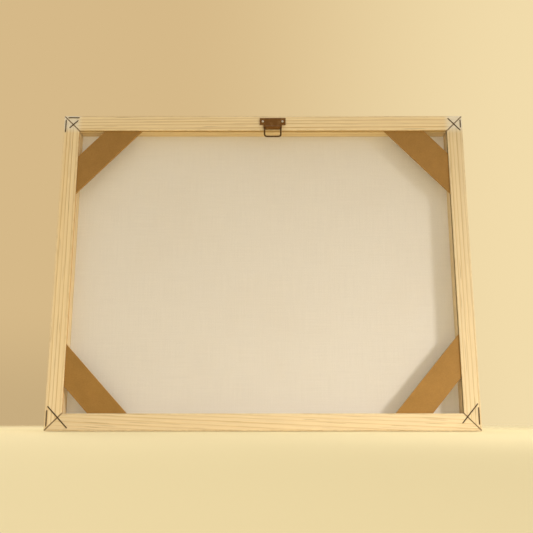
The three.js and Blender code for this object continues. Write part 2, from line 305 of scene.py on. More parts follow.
def soften(obj, width, segments=2, weighted=False):
    """A live bevel that rounds the edges, with the flat faces kept flat."""
    bevel = obj.modifiers.new("Rounded edges", "BEVEL")
    bevel.width = width
    bevel.segments = segments
    bevel.limit_method = "WEIGHT" if weighted else "ANGLE"
    bevel.angle_limit = math.radians(35)
    flat = obj.modifiers.new("Flat faces", "WEIGHTED_NORMAL")
    flat.keep_sharp = True
    return bevel


def rounded_route(corners, radius, steps=5):
    """Points along straight runs between corners, with an arc of the radius at each inner corner."""
    route = [Vector(corners[0])]
    for before, corner, after in zip(corners, corners[1:], corners[2:]):
        corner = Vector(corner)
        towards = (Vector(before) - corner).normalized()
        away = (Vector(after) - corner).normalized()
        half_angle = towards.angle(away) / 2
        centre = corner + (towards + away).normalized() * radius / math.sin(half_angle)
        start = corner + towards * radius / math.tan(half_angle) - centre
        end = corner + away * radius / math.tan(half_angle) - centre
        swing = start.angle(end)
        for i in range(steps + 1):
            share = i / steps
            arc = start * math.sin((1 - share) * swing) + end * math.sin(share * swing)
            route.append(centre + arc / math.sin(swing))
    route.append(Vector(corners[-1]))
    return route


def wire(name, route, thickness, sides=4):
    """A round wire along a route."""
    curve = bpy.data.curves.new(name, "CURVE")
    curve.dimensions = "3D"
    curve.bevel_depth = thickness / 2
    curve.bevel_resolution = sides
    curve.use_fill_caps = True
    spline = curve.splines.new("POLY")
    spline.points.add(len(route) - 1)
    for point, place in zip(spline.points, route):
        point.co = (*place, 1)
    return link(name, curve)


# ---- bars --------------------------------------------------------------------------------


def bar_section(sizes):
    """Corners of a bar's section, as depth from the rear face, distance from the outer edge, share of
    the rounding, wear, and how much it is sawn and left rough."""
    band = sizes.wear_band
    lip = sizes.kerf_lip
    far_lip = lip + sizes.kerf_width
    kerf_floor = BAR - sizes.kerf_depth
    mouth = BAR - 0.8 * MM
    near_side = sizes.groove_inset
    far_side = near_side + sizes.groove_width
    groove_floor = DEPTH - sizes.groove_depth
    return [
        (0, 0, 1, 1, 0),
        (0, band, 0, 0, 0),
        (0, BAR - band, 0, 0, 0),
        (0, BAR, 0.8, 1, 0),
        (lip, BAR, 0.2, 0.7, 0.6),
        (lip, mouth, 0, 0, 1),
        (lip, kerf_floor, 0, 0, 1),
        (far_lip, kerf_floor, 0, 0, 1),
        (far_lip, mouth, 0, 0, 1),
        (far_lip, BAR, 0.3, 0.5, 0.3),
        (far_lip + 0.6 * MM, BAR, 0, 0, 0),
        (DEPTH - band, BAR, 0, 0, 0),
        (DEPTH, BAR, 1, 1, 0),
        (DEPTH, far_side, 0.3, 0.4, 0.3),
        (groove_floor, far_side, 0, 0, 1),
        (groove_floor, near_side, 0, 0, 1),
        (DEPTH, near_side, 0.3, 0.4, 0.3),
        (DEPTH, band, 0, 0, 0),
        (DEPTH, 0, 1, 1, 0),
        (DEPTH - band, 0, 0, 0, 0),
        (band, 0, 0, 0, 0),
    ]


def make_bar(name, sizes):
    """A mitred bar with a kerf in its inner face and a groove in its print face."""
    upright = name in ("left_bar", "right_bar")
    along = Vector((0, 0, 1)) if upright else Vector((1, 0, 0))
    places = {
        "top_bar": (Vector((0, 0, HEIGHT)), Vector((0, 0, -1))),
        "bottom_bar": (Vector((0, 0, 0)), Vector((0, 0, 1))),
        "left_bar": (Vector((-HALF_WIDTH, 0, HEIGHT / 2)), Vector((1, 0, 0))),
        "right_bar": (Vector((HALF_WIDTH, 0, HEIGHT / 2)), Vector((-1, 0, 0))),
    }
    outer_edge, inward = places[name]
    half = (HEIGHT / 2 if upright else HALF_WIDTH) - sizes.mitre_gap / math.sqrt(2)
    section = bar_section(sizes)

    bm = bmesh.new()
    rounding = bm.edges.layers.float.new("bevel_weight_edge")
    worn = bm.verts.layers.float.new("worn")
    sawn = bm.verts.layers.float.new("sawn")
    ends = []
    for direction in (-1, 1):
        ring = []
        for depth, width, _, wear, rough in section:
            place = outer_edge + along * direction * (half - width) + inward * width
            vert = bm.verts.new(place + Vector((0, REAR + depth, 0)))
            vert[worn] = wear
            vert[sawn] = rough
            ring.append(vert)
        bm.faces.new(ring)
        ends.append(ring)
    count = len(section)
    for i in range(count):
        follow = (i + 1) % count
        bm.faces.new((ends[0][i], ends[0][follow], ends[1][follow], ends[1][i]))
    bm.edges.ensure_lookup_table()
    for i, (_, _, weight, _, _) in enumerate(section):
        edge = bm.edges.get((ends[0][i], ends[1][i]))
        edge[rounding] = weight
    for ring in ends:
        for i in range(count):
            bm.edges.get((ring[i], ring[(i + 1) % count]))[rounding] = 0.4
    bar = link(f"pine_{name}", mesh_of(bm, name))
    smooth(bar.data)
    soften(bar, sizes.arris, segments=3, weighted=True)
    return bar


# ---- braces ------------------------------------------------------------------------------


def make_brace(corner):
    """A fibreboard strip cut across the corner, with its ends along the bottoms of the kerfs."""
    side, end = CORNERS[corner]
    low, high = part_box(f"brace_{corner}")
    corner_x = low.x if side < 0 else high.x
    corner_z = high.z if end > 0 else low.z
    level, upright = high.x - low.x, high.z - low.z
    near = 1 - BRACE_WIDTHS[corner] * math.hypot(level, upright) / (level * upright)
    outline = [(level * near, 0), (level, 0), (0, upright), (0, upright * near)]
    bm = bmesh.new()
    faces = []
    for depth in (low.y, high.y):
        ring = [bm.verts.new((corner_x - side * a, depth, corner_z - end * b)) for a, b in outline]
        bm.faces.new(ring)
        faces.append(ring)
    for i in range(4):
        follow = (i + 1) % 4
        wall = bm.faces.new((faces[0][i], faces[0][follow], faces[1][follow], faces[1][i]))
        wall.material_index = 1
    brace = link(f"fibreboard_brace_{corner}", mesh_of(bm, f"brace_{corner}"))
    smooth(brace.data)
    soften(brace, 0.35 * MM)
    return brace


# ---- staples -----------------------------------------------------------------------------


def make_staple(node, sizes, rng):
    """A staple of round-edged wire: its legs in the wood and its crown pressed half into the face."""
    low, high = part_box(node)
    half = sizes.staple_wire / 2
    middle = (low + high) / 2
    if node.startswith("edge"):
        first, last = (middle.x, low.z + half), (middle.x, high.z - half)
    elif node.startswith("rail"):
        first, last = (low.x + half, middle.z), (high.x - half, middle.z)
    else:
        side, end = CORNERS[node.removeprefix("mitre_staple_")]
        inset = 1.4 * half
        first = (low.x + inset, low.z + inset)
        last = (high.x - inset, high.z - inset)
        if side == end:
            first, last = (first[0], last[1]), (last[0], first[1])
    crown = low.y + half
    bow = 0.12 * MM
    tip = high.y
    centre = ((first[0] + last[0]) / 2, (first[1] + last[1]) / 2)
    corners = [
        (first[0] + rng.uniform(-0.2, 0.2) * MM, tip, first[1]),
        (first[0], crown, first[1]),
        (centre[0], crown - bow, centre[1]),
        (last[0], crown, last[1]),
        (last[0] + rng.uniform(-0.2, 0.2) * MM, tip, last[1]),
    ]
    route = rounded_route(corners, 1.1 * MM)
    return wire(f"wire_{node}", route, sizes.staple_wire, sides=3)


# ---- printing mesh -----------------------------------------------------------------------


def cloth_profile(sizes):
    """The cloth's line from its trimmed edge, down one wall of the groove, up the other, to the opening.

    Each point is the distance from the frame's outer edge and the height above the print face.
    """
    near = sizes.groove_inset
    far = near + sizes.groove_width
    floor = -sizes.groove_depth
    lift = sizes.cloth_thickness
    wall = 0.3 * MM
    return [
        (near - sizes.cloth_margin, lift),
        (near - sizes.cloth_margin / 2, lift * 1.4),
        (near - wall, lift),
        (near + wall, -wall * 1.5),
        (near + wall * 1.3, floor + 1.1 * MM),
        (near + 1.2 * MM, floor + wall),
        (far - 1.2 * MM, floor + wall),
        (far - wall * 1.3, floor + 1.1 * MM),
        (far - wall, -wall * 1.5),
        (far + wall, lift),
        (far + 2 * MM, lift * 1.2),
        (BAR - sizes.arris, lift * 1.1),
        (BAR + 2 * MM, lift),
    ]


def make_cloth(sizes):
    """The stretched mesh, tucked into the groove all round, with its flat size in its UV map."""
    profile = cloth_profile(sizes)
    columns = sizes.cloth_cells
    rows = round(columns * HEIGHT / (2 * HALF_WIDTH))
    inner_inset, inner_lift = profile[-1]
    bm = bmesh.new()
    uv = bm.loops.layers.uv.new("flat_cloth")
    flat = {}

    def rim(inset, lift, spare, jitter):
        """Points round a rectangle, starting at its low left corner."""
        half_x = HALF_WIDTH - inset
        half_z = HEIGHT / 2 - inset
        stops = [(-1 + 2 * i / columns, -1) for i in range(columns)]
        stops += [(1, -1 + 2 * j / rows) for j in range(rows)]
        stops += [(1 - 2 * i / columns, 1) for i in range(columns)]
        stops += [(-1, 1 - 2 * j / rows) for j in range(rows)]
        points = []
        for a, b in stops:
            ripple = noise.noise(Vector((a * 31, b * 29, inset * 900))) * jitter
            trim = noise.noise(Vector((a * 17, b * 19, 5.0))) * jitter * 3
            grow = 1 + trim / HALF_WIDTH
            out = PRINT_SIDE + lift + abs(ripple)
            vert = bm.verts.new((a * half_x * grow, out, HEIGHT / 2 + b * half_z * grow))
            flat[vert] = (a * (half_x + spare), b * (half_z + spare))
            points.append(vert)
        return points

    rims = []
    spare = 0.0
    for k in range(len(profile) - 1, -1, -1):
        inset, lift = profile[k]
        if k < len(profile) - 1:
            after = profile[k + 1]
            run = math.hypot(after[0] - inset, after[1] - lift)
            spare += run - (after[0] - inset)
        jitter = {0: 0.35, 1: 0.3, 2: 0.1}.get(k, 0.0) * MM
        rims.append(rim(inset, lift, spare, jitter))
    for outer, inner in zip(rims[1:], rims):
        for i in range(len(outer)):
            follow = (i + 1) % len(outer)
            bm.faces.new((inner[i], inner[follow], outer[follow], outer[i]))

    edge = rims[0]
    grid = [[None] * (rows + 1) for _ in range(columns + 1)]
    for i in range(columns):
        grid[i][0] = edge[i]
        grid[columns - i][rows] = edge[columns + rows + i]
    for j in range(rows):
        grid[columns][j] = edge[columns + j]
        grid[0][rows - j] = edge[2 * columns + rows + j]
    half_x = HALF_WIDTH - inner_inset
    half_z = HEIGHT / 2 - inner_inset
    for i in range(1, columns):
        for j in range(1, rows):
            a = -1 + 2 * i / columns
            b = -1 + 2 * j / rows
            pull = (1 - a * a) * (1 - b * b) * 0.4 * MM
            wave = noise.noise(Vector((a * 2.2, b * 2.0, 3.7))) * 0.12 * MM * (1 - a * a) * (1 - b * b)
            vert = bm.verts.new((a * half_x, PRINT_SIDE + inner_lift - pull + wave, HEIGHT / 2 + b * half_z))
            flat[vert] = (a * half_x, b * half_z)
            grid[i][j] = vert
    for i in range(columns):
        for j in range(rows):
            bm.faces.new((grid[i][j], grid[i + 1][j], grid[i + 1][j + 1], grid[i][j + 1]))
    for face in bm.faces:
        for loop in face.loops:
            loop[uv].uv = flat[loop.vert]

    cloth = link("woven_printing_mesh", mesh_of(bm, "woven_printing_mesh"))
    smooth(cloth.data)
    body = cloth.modifiers.new("Cloth thickness", "SOLIDIFY")
    body.thickness = sizes.cloth_thickness
    body.offset = 0
    outer_inset = profile[0][0]
    size = (2 * (HALF_WIDTH - outer_inset + spare), HEIGHT - 2 * (outer_inset - spare))
    return cloth, size


# ---- cords -------------------------------------------------------------------------------


def make_cord(node, sizes):
    """A three-strand twisted cord, made upright at its own origin and then laid in its groove."""
    low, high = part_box(node)
    upright = high.z - low.z > high.x - low.x
    length = high.z - low.z if upright else high.x - low.x
    radius = (high.y - low.y) / 2
    lobes = 3
    around = 8 * lobes
    cell = 1.4 * MM
    cells = round(length / cell)
    bm = bmesh.new()
    uv = bm.loops.layers.uv.new("along_cord")
    rings = []
    for k in range(cells + 1):
        share = k / cells
        end_round = min(1.0, 0.72 + min(share, 1 - share) * cells * 0.14)
        level = share * length - length / 2
        ring = []
        for i in range(around):
            angle = 2 * math.pi * i / around
            lobe = abs(math.cos(lobes * angle / 2))
            reach = radius * end_round * (0.76 + 0.24 * lobe ** 0.7)
            ring.append(bm.verts.new((reach * math.cos(angle), reach * math.sin(angle), level)))
        rings.append(ring)
    for k in range(cells):
        for i in range(around):
            follow = (i + 1) % around
            face = bm.faces.new((rings[k][i], rings[k][follow], rings[k + 1][follow], rings[k + 1][i]))
            for loop, (a, b) in zip(face.loops, ((i, k), (i + 1, k), (i + 1, k + 1), (i, k + 1))):
                loop[uv].uv = (a / around, b * cell)
    bm.faces.new(reversed(rings[0]))
    bm.faces.new(rings[-1])
    cord = link(f"twisted_{node}", mesh_of(bm, node))
    smooth(cord.data)
    twist = cord.modifiers.new("Twisted strands", "SIMPLE_DEFORM")
    twist.deform_method = "TWIST"
    twist.deform_axis = "Z"
    twist.angle = 2 * math.pi * length / sizes.cord_twist
    apply_stack(cord)
    if not upright:
        cord.data.transform(Matrix.Rotation(math.pi / 2, 4, "Y"))
    cord.data.transform(Matrix.Translation((low + high) / 2))
    return cord


# ---- hanger ------------------------------------------------------------------------------


def make_hanger_plate(sizes):
    """Sheet metal: wide ears, a strap, and a tab rolled forward round the ring's wire."""
    low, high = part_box("hanger_plate")
    middle = (low.x + high.x) / 2
    sheet = sizes.hanger_sheet
    mid_y = high.y - sheet / 2
    roll = (high.y - low.y - sheet) / 2
    ear = (high.x - low.x) / 2
    strap = sizes.strap_width / 2
    tab = sizes.roll_width / 2
    xs = [-ear, -strap, -tab, -tab / 3, tab / 3, tab, strap, ear]
    rows = [(mid_y, high.z, ear), (mid_y, high.z - sizes.hanger_ear, ear), (mid_y, SWING_AXIS.z, strap)]
    turn_steps = 26
    for k in range(1, turn_steps + 1):
        angle = -math.radians(290) * k / turn_steps
        y = SWING_AXIS.y + roll * math.cos(angle)
        z = SWING_AXIS.z + roll * math.sin(angle)
        rows.append((y, z, tab))
    bm = bmesh.new()
    grid = [[bm.verts.new((middle + x, y, z)) for x in xs] for y, z, _ in rows]
    for k in range(len(rows) - 1):
        for i in range(len(xs) - 1):
            inside = max(abs(xs[i]), abs(xs[i + 1])) <= rows[k + 1][2] + 1e-6
            if inside:
                bm.faces.new((grid[k][i], grid[k][i + 1], grid[k + 1][i + 1], grid[k + 1][i]))
    bmesh.ops.delete(bm, geom=[v for v in bm.verts if not v.link_faces], context="VERTS")
    plate = link("bronze_hanger_plate", mesh_of(bm, "hanger_plate"))
    body = plate.modifiers.new("Sheet thickness", "SOLIDIFY")
    body.thickness = sheet
    body.offset = 0
    body.use_even_offset = True

    cutters = []
    for side in ("left", "right"):
        screw_low, screw_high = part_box(f"hanger_screw_{side}")
        centre = (screw_low + screw_high) / 2
        hole = bmesh.new()
        bmesh.ops.create_cone(
            hole, cap_ends=True, segments=24, radius1=1.1 * MM, radius2=1.1 * MM, depth=6 * MM,
            matrix=Matrix.Translation((centre.x, mid_y, centre.z)) @ Matrix.Rotation(math.pi / 2, 4, "X"),
        )
        cutter = link(f"hole_{side}", mesh_of(hole, f"hole_{side}"))
        drill = plate.modifiers.new("Screw hole", "BOOLEAN")
        drill.object = cutter
        drill.solver = "EXACT"
        cutters.append(cutter)
    apply_stack(plate)
    for cutter in cutters:
        bpy.data.objects.remove(cutter)
    smooth(plate.data)
    soften(plate, 0.16 * MM)
    return plate


def make_ring(sizes):
    """The wire loop, bent from one length whose ends meet inside the roll."""
    low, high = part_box("hanger_ring")
    half = sizes.ring_wire / 2
    left, right = low.x + half, high.x - half
    top, bottom = SWING_AXIS.z, low.z + half
    middle, y = (left + right) / 2, SWING_AXIS.y
    seam = 0.25 * MM
    waist = (top + bottom) / 2
    upper = rounded_route([(middle + seam, y, top), (right, y, top), (right, y, waist)], 1.2 * MM)
    lower = rounded_route(
        [(right, y, waist), (right, y, bottom), (left, y, bottom), (left, y, waist)],
        2.6 * MM, steps=10,
    )
    closing = rounded_route([(left, y, waist), (left, y, top), (middle - seam, y, top)], 1.2 * MM)
    return wire("bronze_hanger_ring", upper + lower[1:] + closing[1:], sizes.ring_wire, sides=6)


def make_screw(side):
    """A slotted round-head screw, turned at its own origin and then set in its hole."""
    node = f"hanger_screw_{side}"
    low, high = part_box(node)
    head = (high.x - low.x) / 2
    shank = 0.8 * MM
    crown = 1.0 * MM
    length = high.y - low.y - crown
    point = 2.4 * MM
    dome = [(head * math.sin(t), crown * math.cos(t)) for t in (0.0, 0.35, 0.7, 1.05, 1.35, math.pi / 2)]
    profile = dome + [(head * 0.98, -0.05 * MM), (shank, -0.05 * MM)]
    turns = 7
    pitch = (length - point) / turns
    for k in range(turns):
        depth = -(k + 0.2) * pitch
        profile += [(shank * 0.78, depth), (shank * 0.78, depth - pitch * 0.45), (shank, depth - pitch * 0.7)]
    profile += [(shank * 0.8, point - length), (0.0, -length)]
    bm = bmesh.new()
    verts = [bm.verts.new((x, 0, z)) for x, z in profile]
    for a, b in zip(verts, verts[1:]):
        bm.edges.new((a, b))
    mesh = bpy.data.meshes.new(node)
    bm.to_mesh(mesh)
    bm.free()
    screw = link(f"bright_{node}", mesh)
    lathe = screw.modifiers.new("Turned", "SCREW")
    lathe.steps = lathe.render_steps = 32
    lathe.use_merge_vertices = True
    lathe.merge_threshold = 0.01 * MM
    slot = bmesh.new()
    bmesh.ops.create_cube(slot, size=1, matrix=Matrix.Translation((0, 0, crown)) @ Matrix.Diagonal(
        (head * 3, 0.5 * MM, 1.1 * MM, 1)))
    cutter = link(f"slot_{side}", mesh_of(slot, f"slot_{side}"))
    driver = screw.modifiers.new("Driver slot", "BOOLEAN")
    driver.object = cutter
    driver.solver = "EXACT"
    apply_stack(screw)
    bpy.data.objects.remove(cutter)
    turned = -20 if side == "left" else 35
    centre = (low + high) / 2
    underside = low.y + crown
    place = Matrix.Translation((centre.x, underside, centre.z))
    place @= Matrix.Rotation(math.radians(turned), 4, "Y") @ Matrix.Rotation(math.pi / 2, 4, "X")
    screw.data.transform(place)
    smooth(screw.data)
    screw.data.set_sharp_from_angle(angle=math.radians(40))
    return screw


# ---- finishes ----------------------------------------------------------------------------


def arrange(nodes, groups):
    """Stands the nodes of each effect in a frame with a title, one column after another."""
    column = 0
    for title, members in groups:
        group = nodes.new("NodeFrame")
        group.label = title
        for row, node in enumerate(members):
            node.parent = group
            node.location = (column * 240 + (row // 3) * 220, 300 - (row % 3) * 260)
        column += 1 + (len(members) - 1) // 3


def pine_finish(name, colours, along, pith, lean, tone, kerf_shade_tone, contrast, warmth, haze):
    """Straight-grained pine: year rings about the pith, fibres along the bar, rubbed arrises, and painted
    shade in the sawn kerf and groove, set for each bar by how the key light falls.
    """
    material = bpy.data.materials.new(name)
    material.use_nodes = True
    nodes = material.node_tree.nodes
    links = material.node_tree.links
    nodes.clear()
    level = along == "X"

    place = nodes.new("ShaderNodeTexCoord")
    place.label = "Place on the bar"
    board = nodes.new("ShaderNodeMapping")
    board.label = "Pith of the tree"
    board.inputs["Location"].default_value = pith
    board.inputs["Rotation"].default_value = (0, math.radians(lean), 0)
    fibre_run = nodes.new("ShaderNodeMapping")
    fibre_run.label = "Fibres run along the bar"
    fibre_run.inputs["Scale"].default_value = (26, 900, 900) if level else (900, 900, 26)
    links.new(place.outputs["Object"], board.inputs["Vector"])
    links.new(board.outputs["Vector"], fibre_run.inputs["Vector"])

    wander = nodes.new("ShaderNodeTexNoise")
    wander.label = "Slow wander of the rings"
    wander.inputs["Scale"].default_value = 0.05
    wander.inputs["Detail"].default_value = 2
    bend = nodes.new("ShaderNodeVectorMath")
    bend.label = "Rings wander a few millimetres"
    bend.operation = "MULTIPLY_ADD"
    bend.inputs[1].default_value = (0.007, 0.007, 0.007)
    rings = nodes.new("ShaderNodeTexWave")
    rings.label = "Year rings"
    rings.wave_type = "RINGS"
    rings.rings_direction = along
    rings.wave_profile = "SAW"
    rings.inputs["Scale"].default_value = 94
    rings.inputs["Distortion"].default_value = 0
    ring_tone = nodes.new("ShaderNodeValToRGB")
    ring_tone.label = "Pale early wood to amber late wood"
    ramp = ring_tone.color_ramp
    ramp.elements[0].position = 0.0
    ramp.elements[0].color = (0.12, 0.12, 0.12, 1)
    ramp.elements[1].position = 1.0
    ramp.elements[1].color = (0.25, 0.25, 0.25, 1)
    for stop, amount in ((0.1, 0.0), (0.55, 0.06), (0.76, 0.4), (0.88, 1.0), (0.95, 0.85)):
        ramp.elements.new(stop).color = (amount, amount, amount, 1)
    links.new(fibre_run.outputs["Vector"], wander.inputs["Vector"])
    links.new(wander.outputs["Color"], bend.inputs[0])
    links.new(board.outputs["Vector"], bend.inputs[2])
    links.new(bend.outputs["Vector"], rings.inputs["Vector"])
    links.new(rings.outputs["Fac"], ring_tone.inputs["Fac"])

    ring_strength = nodes.new("ShaderNodeTexNoise")
    ring_strength.label = "Some rings are fainter"
    ring_strength.inputs["Scale"].default_value = 0.22
    ring_strength.inputs["Detail"].default_value = 1
    ring_range = nodes.new("ShaderNodeMapRange")
    ring_range.label = "Faint to plain rings"
    ring_range.inputs["From Min"].default_value = 0.3
    ring_range.inputs["From Max"].default_value = 0.7
    ring_range.inputs["To Min"].default_value = 0.45 * contrast
    ring_range.inputs["To Max"].default_value = contrast
    ring_amount = nodes.new("ShaderNodeMath")
    ring_amount.label = "Ring colour amount"
    ring_amount.operation = "MULTIPLY"
    links.new(fibre_run.outputs["Vector"], ring_strength.inputs["Vector"])
    links.new(ring_strength.outputs["Fac"], ring_range.inputs["Value"])
    links.new(ring_tone.outputs["Color"], ring_amount.inputs[0])
    links.new(ring_range.outputs["Result"], ring_amount.inputs[1])

    wood = nodes.new("ShaderNodeMix")
    wood.label = "Early and late wood"
    wood.data_type = "RGBA"
    wood.inputs[6].default_value = (*(tone * c for c in colours.pine_light), 1)
    wood.inputs[7].default_value = (*(tone * c for c in colours.pine_dark), 1)
    patches = nodes.new("ShaderNodeTexNoise")
    patches.label = "Warmer patches along the bar"
    patches.inputs["Scale"].default_value = 0.12
    patches.inputs["Detail"].default_value = 3
    patch_range = nodes.new("ShaderNodeMapRange")
    patch_range.label = "How warm the patches are"
    patch_range.inputs["From Min"].default_value = 0.35
    patch_range.inputs["From Max"].default_value = 0.75
    patch_range.inputs["To Max"].default_value = warmth
    warm = nodes.new("ShaderNodeMix")
    warm.label = "Warm patches"
    warm.data_type = "RGBA"
    amber = [tone * c * f for c, f in zip(colours.pine_light, (0.96, 0.86, 0.68))]
    warm.inputs[7].default_value = (*amber, 1)
    links.new(ring_amount.outputs["Value"], wood.inputs[0])
    links.new(fibre_run.outputs["Vector"], patches.inputs["Vector"])
    links.new(patches.outputs["Fac"], patch_range.inputs["Value"])
    links.new(patch_range.outputs["Result"], warm.inputs[0])
    links.new(wood.outputs[2], warm.inputs[6])

    fibres = nodes.new("ShaderNodeTexNoise")
    fibres.label = "Fibres"
    fibres.inputs["Scale"].default_value = 1.4
    fibres.inputs["Detail"].default_value = 5
    fibres.inputs["Roughness"].default_value = 0.65
    fibre_range = nodes.new("ShaderNodeMapRange")
    fibre_range.label = "Light and dark fibres"
    fibre_range.inputs["From Min"].default_value = 0.3
    fibre_range.inputs["From Max"].default_value = 0.7
    fibre_range.inputs["To Min"].default_value = 0.9
    fibre_range.inputs["To Max"].default_value = 1.06
    fibred = nodes.new("ShaderNodeMix")
    fibred.label = "Fibres on the wood"
    fibred.data_type = "RGBA"
    fibred.blend_type = "MULTIPLY"
    fibred.inputs[0].default_value = 1
    links.new(fibre_run.outputs["Vector"], fibres.inputs["Vector"])
    links.new(fibres.outputs["Fac"], fibre_range.inputs["Value"])
    links.new(warm.outputs[2], fibred.inputs[6])
    links.new(fibre_range.outputs["Result"], fibred.inputs[7])

    resin = nodes.new("ShaderNodeTexNoise")
    resin.label = "Resin ducts"
    resin.inputs["Scale"].default_value = 1.1
    resin.inputs["Detail"].default_value = 0
    duct = nodes.new("ShaderNodeMapRange")
    duct.label = "Only the strongest are ducts"
    duct.inputs["From Min"].default_value = 0.74
    duct.inputs["From Max"].default_value = 0.8
    duct.inputs["To Max"].default_value = 0.45
    streaked = nodes.new("ShaderNodeMix")
    streaked.label = "Short brown streaks"
    streaked.data_type = "RGBA"
    streaked.inputs[7].default_value = (*(0.55 * c for c in colours.pine_dark), 1)
    links.new(fibre_run.outputs["Vector"], resin.inputs["Vector"])
    links.new(resin.outputs["Fac"], duct.inputs["Value"])
    links.new(duct.outputs["Result"], streaked.inputs[0])
    links.new(fibred.outputs[2], streaked.inputs[6])

    rubbed = nodes.new("ShaderNodeAttribute")
    rubbed.label = "Close to an arris"
    rubbed.attribute_name = "worn"
    grime = nodes.new("ShaderNodeTexNoise")
    grime.label = "Broken marks of handling"
    grime.inputs["Scale"].default_value = 140
    grime.inputs["Detail"].default_value = 4
    grime_range = nodes.new("ShaderNodeMapRange")
    grime_range.label = "Marks that show"
    grime_range.inputs["From Min"].default_value = 0.42
    grime_range.inputs["From Max"].default_value = 0.68
    grime_range.inputs["To Max"].default_value = 0.3
    edge_marks = nodes.new("ShaderNodeMath")
    edge_marks.label = "Marks on the arris"
    edge_marks.operation = "MULTIPLY"
    handled = nodes.new("ShaderNodeMix")
    handled.label = "Darkened by handling"
    handled.data_type = "RGBA"
    handled.inputs[7].default_value = (*(0.62 * c for c in colours.pine_dark), 1)
    links.new(place.outputs["Object"], grime.inputs["Vector"])
    links.new(grime.outputs["Fac"], grime_range.inputs["Value"])
    links.new(rubbed.outputs["Fac"], edge_marks.inputs[0])
    links.new(grime_range.outputs["Result"], edge_marks.inputs[1])
    links.new(edge_marks.outputs["Value"], handled.inputs[0])
    links.new(streaked.outputs[2], handled.inputs[6])

    cut = nodes.new("ShaderNodeAttribute")
    cut.label = "Sawn and left rough"
    cut.attribute_name = "sawn"
    # Painted shade: the sawn kerf and groove walls take the saw-cut colour dimmed by the bar's kerf tone,
    # darkest where the kerf faces away from the key light.
    sawn_wood_with_shade = nodes.new("ShaderNodeMix")
    sawn_wood_with_shade.label = "Saw cut with painted shade"
    sawn_wood_with_shade.data_type = "RGBA"
    sawn_wood_with_shade.inputs[7].default_value = (*(kerf_shade_tone * c for c in colours.saw_cut), 1)
    links.new(cut.outputs["Fac"], sawn_wood_with_shade.inputs[0])
    links.new(handled.outputs[2], sawn_wood_with_shade.inputs[6])

    split = nodes.new("ShaderNodeSeparateXYZ")
    split.label = "Distance along the bar"
    from_middle = nodes.new("ShaderNodeMath")
    from_middle.label = "Both ends alike"
    from_middle.operation = "ABSOLUTE"
    corner = nodes.new("ShaderNodeMapRange")
    corner.label = "Only at the corner"
    corner.interpolation_type = "SMOOTHSTEP"
    corner.inputs["From Min"].default_value = (HALF_WIDTH if level else HEIGHT) - 1.25 * BAR
    corner.inputs["From Max"].default_value = (HALF_WIDTH if level else HEIGHT) - 0.7 * BAR
    corner.inputs["To Max"].default_value = haze
    dusty = nodes.new("ShaderNodeMath")
    dusty.label = "Broken film"
    dusty.operation = "MULTIPLY"
    filmed = nodes.new("ShaderNodeMix")
    filmed.label = "Pale dried glue at the mitres"
    filmed.data_type = "RGBA"
    filmed.inputs[7].default_value = (*colour("#E6DFD0"), 1)
    links.new(place.outputs["Object"], split.inputs["Vector"])
    links.new(split.outputs["X" if level else "Z"], from_middle.inputs[0])
    links.new(from_middle.outputs["Value"], corner.inputs["Value"])
    links.new(corner.outputs["Result"], dusty.inputs[0])
    links.new(fibre_range.outputs["Result"], dusty.inputs[1])
    links.new(dusty.outputs["Value"], filmed.inputs[0])
    links.new(sawn_wood_with_shade.outputs[2], filmed.inputs[6])

    sideways = nodes.new("ShaderNodeMath")
    sideways.label = "Left and right alike"
    sideways.operation = "ABSOLUTE"
    level_middle = nodes.new("ShaderNodeMath")
    level_middle.label = "Height from the middle"
    level_middle.operation = "SUBTRACT"
    level_middle.inputs[1].default_value = HEIGHT / 2
    upward = nodes.new("ShaderNodeMath")
    upward.label = "Top and bottom alike"
    upward.operation = "ABSOLUTE"
    slant = nodes.new("ShaderNodeMath")
    slant.label = "Across the mitre"
    slant.operation = "SUBTRACT"
    off_seam = nodes.new("ShaderNodeMath")
    off_seam.label = "Distance from the mitre"
    off_seam.operation = "SUBTRACT"
    off_seam.inputs[1].default_value = HALF_WIDTH - HEIGHT / 2
    either_side = nodes.new("ShaderNodeMath")
    either_side.label = "Either side of the mitre"
    either_side.operation = "ABSOLUTE"
    seam = nodes.new("ShaderNodeMapRange")
    seam.label = "Dark line of the joint"
    seam.interpolation_type = "SMOOTHSTEP"
    seam.inputs["From Min"].default_value = 1.3 * MM
    seam.inputs["From Max"].default_value = 0.5 * MM
    seam.inputs["To Max"].default_value = 0.85
    at_face = nodes.new("ShaderNodeMapRange")
    at_face.label = "Only on the rear face"
    at_face.inputs["From Min"].default_value = REAR + 1.0 * MM
    at_face.inputs["From Max"].default_value = REAR + 0.4 * MM
    seam_amount = nodes.new("ShaderNodeMath")
    seam_amount.label = "How dark the joint is"
    seam_amount.operation = "MULTIPLY"
    jointed = nodes.new("ShaderNodeMix")
    jointed.label = "Glue and dirt in the joint"
    jointed.data_type = "RGBA"
    jointed.inputs[7].default_value = (*colour("#6A4A28"), 1)
    links.new(split.outputs["X"], sideways.inputs[0])
    links.new(split.outputs["Z"], level_middle.inputs[0])
    links.new(level_middle.outputs["Value"], upward.inputs[0])
    links.new(sideways.outputs["Value"], slant.inputs[0])
    links.new(upward.outputs["Value"], slant.inputs[1])
    links.new(slant.outputs["Value"], off_seam.inputs[0])
    links.new(off_seam.outputs["Value"], either_side.inputs[0])
    links.new(either_side.outputs["Value"], seam.inputs["Value"])
    links.new(split.outputs["Y"], at_face.inputs["Value"])
    links.new(seam.outputs["Result"], seam_amount.inputs[0])
    links.new(at_face.outputs["Result"], seam_amount.inputs[1])
    links.new(seam_amount.outputs["Value"], jointed.inputs[0])
    links.new(filmed.outputs[2], jointed.inputs[6])

